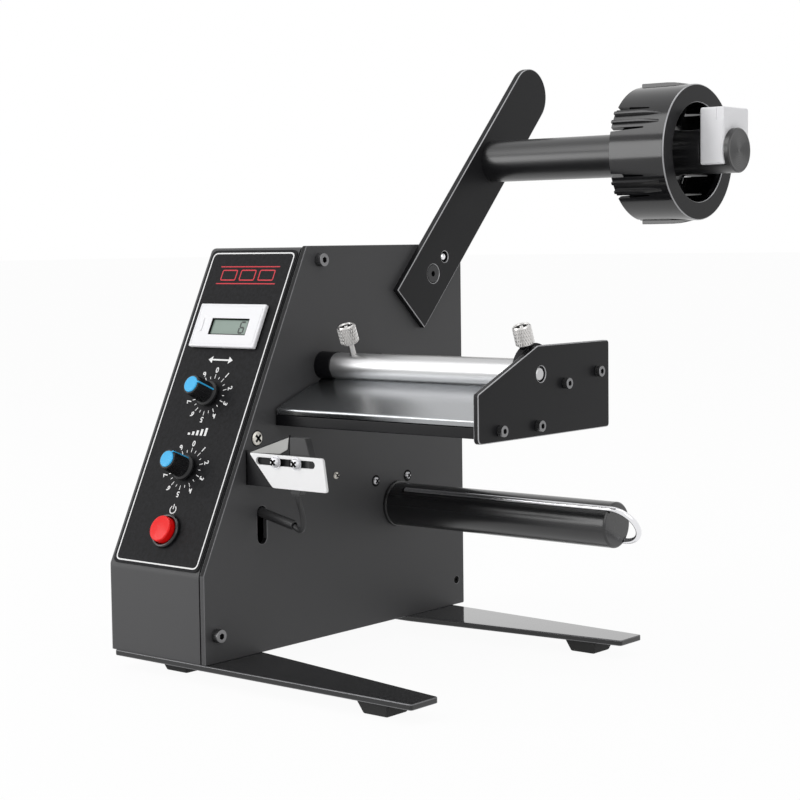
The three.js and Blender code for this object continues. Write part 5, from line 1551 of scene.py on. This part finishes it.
class DISPENSER_OT_stage(Operator):
    """Sets up the floor, the light and the camera"""

    bl_idname = "dispenser.stage"
    bl_label = "Stage"

    def execute(self, context):
        self.floor()
        self.world()
        self.lamps()
        self.camera()
        return {"FINISHED"}

    def shown_share(self, nodes, links, share):
        """The share of plain white that the camera and mirrors see."""
        rays = nodes.new("ShaderNodeLightPath")
        seen = nodes.new("ShaderNodeMath")
        seen.operation = "MAXIMUM"
        both = nodes.new("ShaderNodeMath")
        both.operation = "MAXIMUM"
        part = nodes.new("ShaderNodeMath")
        part.operation = "MULTIPLY"
        part.inputs[1].default_value = share
        links.new(rays.outputs["Is Camera Ray"], seen.inputs[0])
        links.new(rays.outputs["Is Glossy Ray"], seen.inputs[1])
        links.new(seen.outputs[0], both.inputs[0])
        links.new(rays.outputs["Is Transmission Ray"], both.inputs[1])
        links.new(both.outputs[0], part.inputs[0])
        return part.outputs[0]

    def mixed(self, nodes, links, share, lit, white, output):
        """Shows the white shader to the share of rays, and the lit one to the rest."""
        mix = nodes.new("ShaderNodeMixShader")
        links.new(self.shown_share(nodes, links, share), mix.inputs["Fac"])
        links.new(lit.outputs[0], mix.inputs[1])
        links.new(white.outputs[0], mix.inputs[2])
        links.new(mix.outputs[0], nodes[output].inputs["Surface"])

    def floor(self):
        floor = brick("floor", (-FLOOR_REACH, -FLOOR_REACH, -20), (FLOOR_REACH, FLOOR_REACH, -0.2))
        material, nodes, links, shader = new_material("pale_floor")
        shader.inputs["Base Color"].default_value = (0.9, 0.9, 0.9, 1)
        shader.inputs["Roughness"].default_value = 0.6
        white = nodes.new("ShaderNodeEmission")
        white.inputs["Strength"].default_value = 1.0
        self.mixed(nodes, links, FLOOR_SHARE, shader, white, "Material Output")
        floor.data.materials.append(material)

    def world(self):
        world = bpy.data.worlds.new("studio")
        bpy.context.scene.world = world
        world.use_nodes = True
        nodes, links = world.node_tree.nodes, world.node_tree.links
        soft = nodes["Background"]
        white = nodes.new("ShaderNodeBackground")
        for background, strength in ((soft, SOFT_LIGHT), (white, 1.0)):
            background.inputs["Color"].default_value = (1, 1, 1, 1)
            background.inputs["Strength"].default_value = strength
        self.mixed(nodes, links, 1.0, soft, white, "World Output")

    def lamps(self):
        for name, place, size, power in LAMPS:
            data = bpy.data.lights.new(name, "AREA")
            data.energy = power
            data.size = size
            lamp = link(name, data)
            lamp.location = place
            lamp.rotation_euler = (LAMP_TARGET - Vector(place)).to_track_quat("-Z", "Y").to_euler()

    def camera(self):
        turn, tilt, roll = (math.radians(angle) for angle in (CAMERA_TURN, CAMERA_TILT, CAMERA_ROLL))
        level = math.cos(tilt)
        forward = Vector((-math.sin(turn) * level, math.cos(turn) * level, -math.sin(tilt)))
        right = Vector((math.cos(turn), math.sin(turn), 0))
        up = right.cross(forward)
        rolled_right = right * math.cos(roll) + up * math.sin(roll)
        rolled_up = up * math.cos(roll) - right * math.sin(roll)
        data = bpy.data.cameras.new("camera")
        data.sensor_width = FILM_WIDE
        data.lens = FOCAL_PIXELS / PICTURE_PIXELS * FILM_WIDE
        data.clip_end = 100
        camera = link("camera", data, basis(rolled_right, rolled_up, -forward, at(*CAMERA_PLACE)))
        bpy.context.scene.camera = camera


OPERATORS = (
    DISPENSER_OT_inner_pieces,
    DISPENSER_OT_side_plate,
    DISPENSER_OT_cover,
    DISPENSER_OT_feet,
    DISPENSER_OT_panel,
    DISPENSER_OT_counter,
    DISPENSER_OT_knobs,
    DISPENSER_OT_button,
    DISPENSER_OT_arm,
    DISPENSER_OT_shaft,
    DISPENSER_OT_hub,
    DISPENSER_OT_label_bar,
    DISPENSER_OT_thumb_screws,
    DISPENSER_OT_label_plate,
    DISPENSER_OT_end_plate,
    DISPENSER_OT_spindle,
    DISPENSER_OT_sensor,
    DISPENSER_OT_screws,
    DISPENSER_OT_stage,
)


class DISPENSER_PT_sidebar(Panel):
    """Lists the steps that dress the dispenser"""

    bl_idname = "DISPENSER_PT_sidebar"
    bl_label = "Label Dispenser"
    bl_space_type = "VIEW_3D"
    bl_region_type = "UI"
    bl_category = "Dispenser"

    def draw(self, context):
        for operator in OPERATORS:
            self.layout.operator(operator.bl_idname)
        for name in ("dispenser_colours", "dispenser_housing", "dispenser_panel", "dispenser_rollers"):
            group = getattr(context.scene, name)
            box = self.layout.box()
            for key in group.__annotations__:
                box.prop(group, key)


GROUPS = {
    "dispenser_colours": DispenserColours,
    "dispenser_housing": HousingSizes,
    "dispenser_panel": PanelSizes,
    "dispenser_rollers": RollerSizes,
}
CLASSES = (*GROUPS.values(), *OPERATORS, DISPENSER_PT_sidebar)


def register():
    for entry in CLASSES:
        bpy.utils.register_class(entry)
    for name, group in GROUPS.items():
        setattr(bpy.types.Scene, name, PointerProperty(type=group))


def unregister():
    for name in GROUPS:
        delattr(bpy.types.Scene, name)
    for entry in reversed(CLASSES):
        bpy.utils.unregister_class(entry)


def main():
    register()
    bpy.context.scene.view_settings.view_transform = "Standard"
    for operator in OPERATORS:
        group, name = operator.bl_idname.split(".")
        getattr(getattr(bpy.ops, group), name)()


if __name__ == "__main__":
    main()
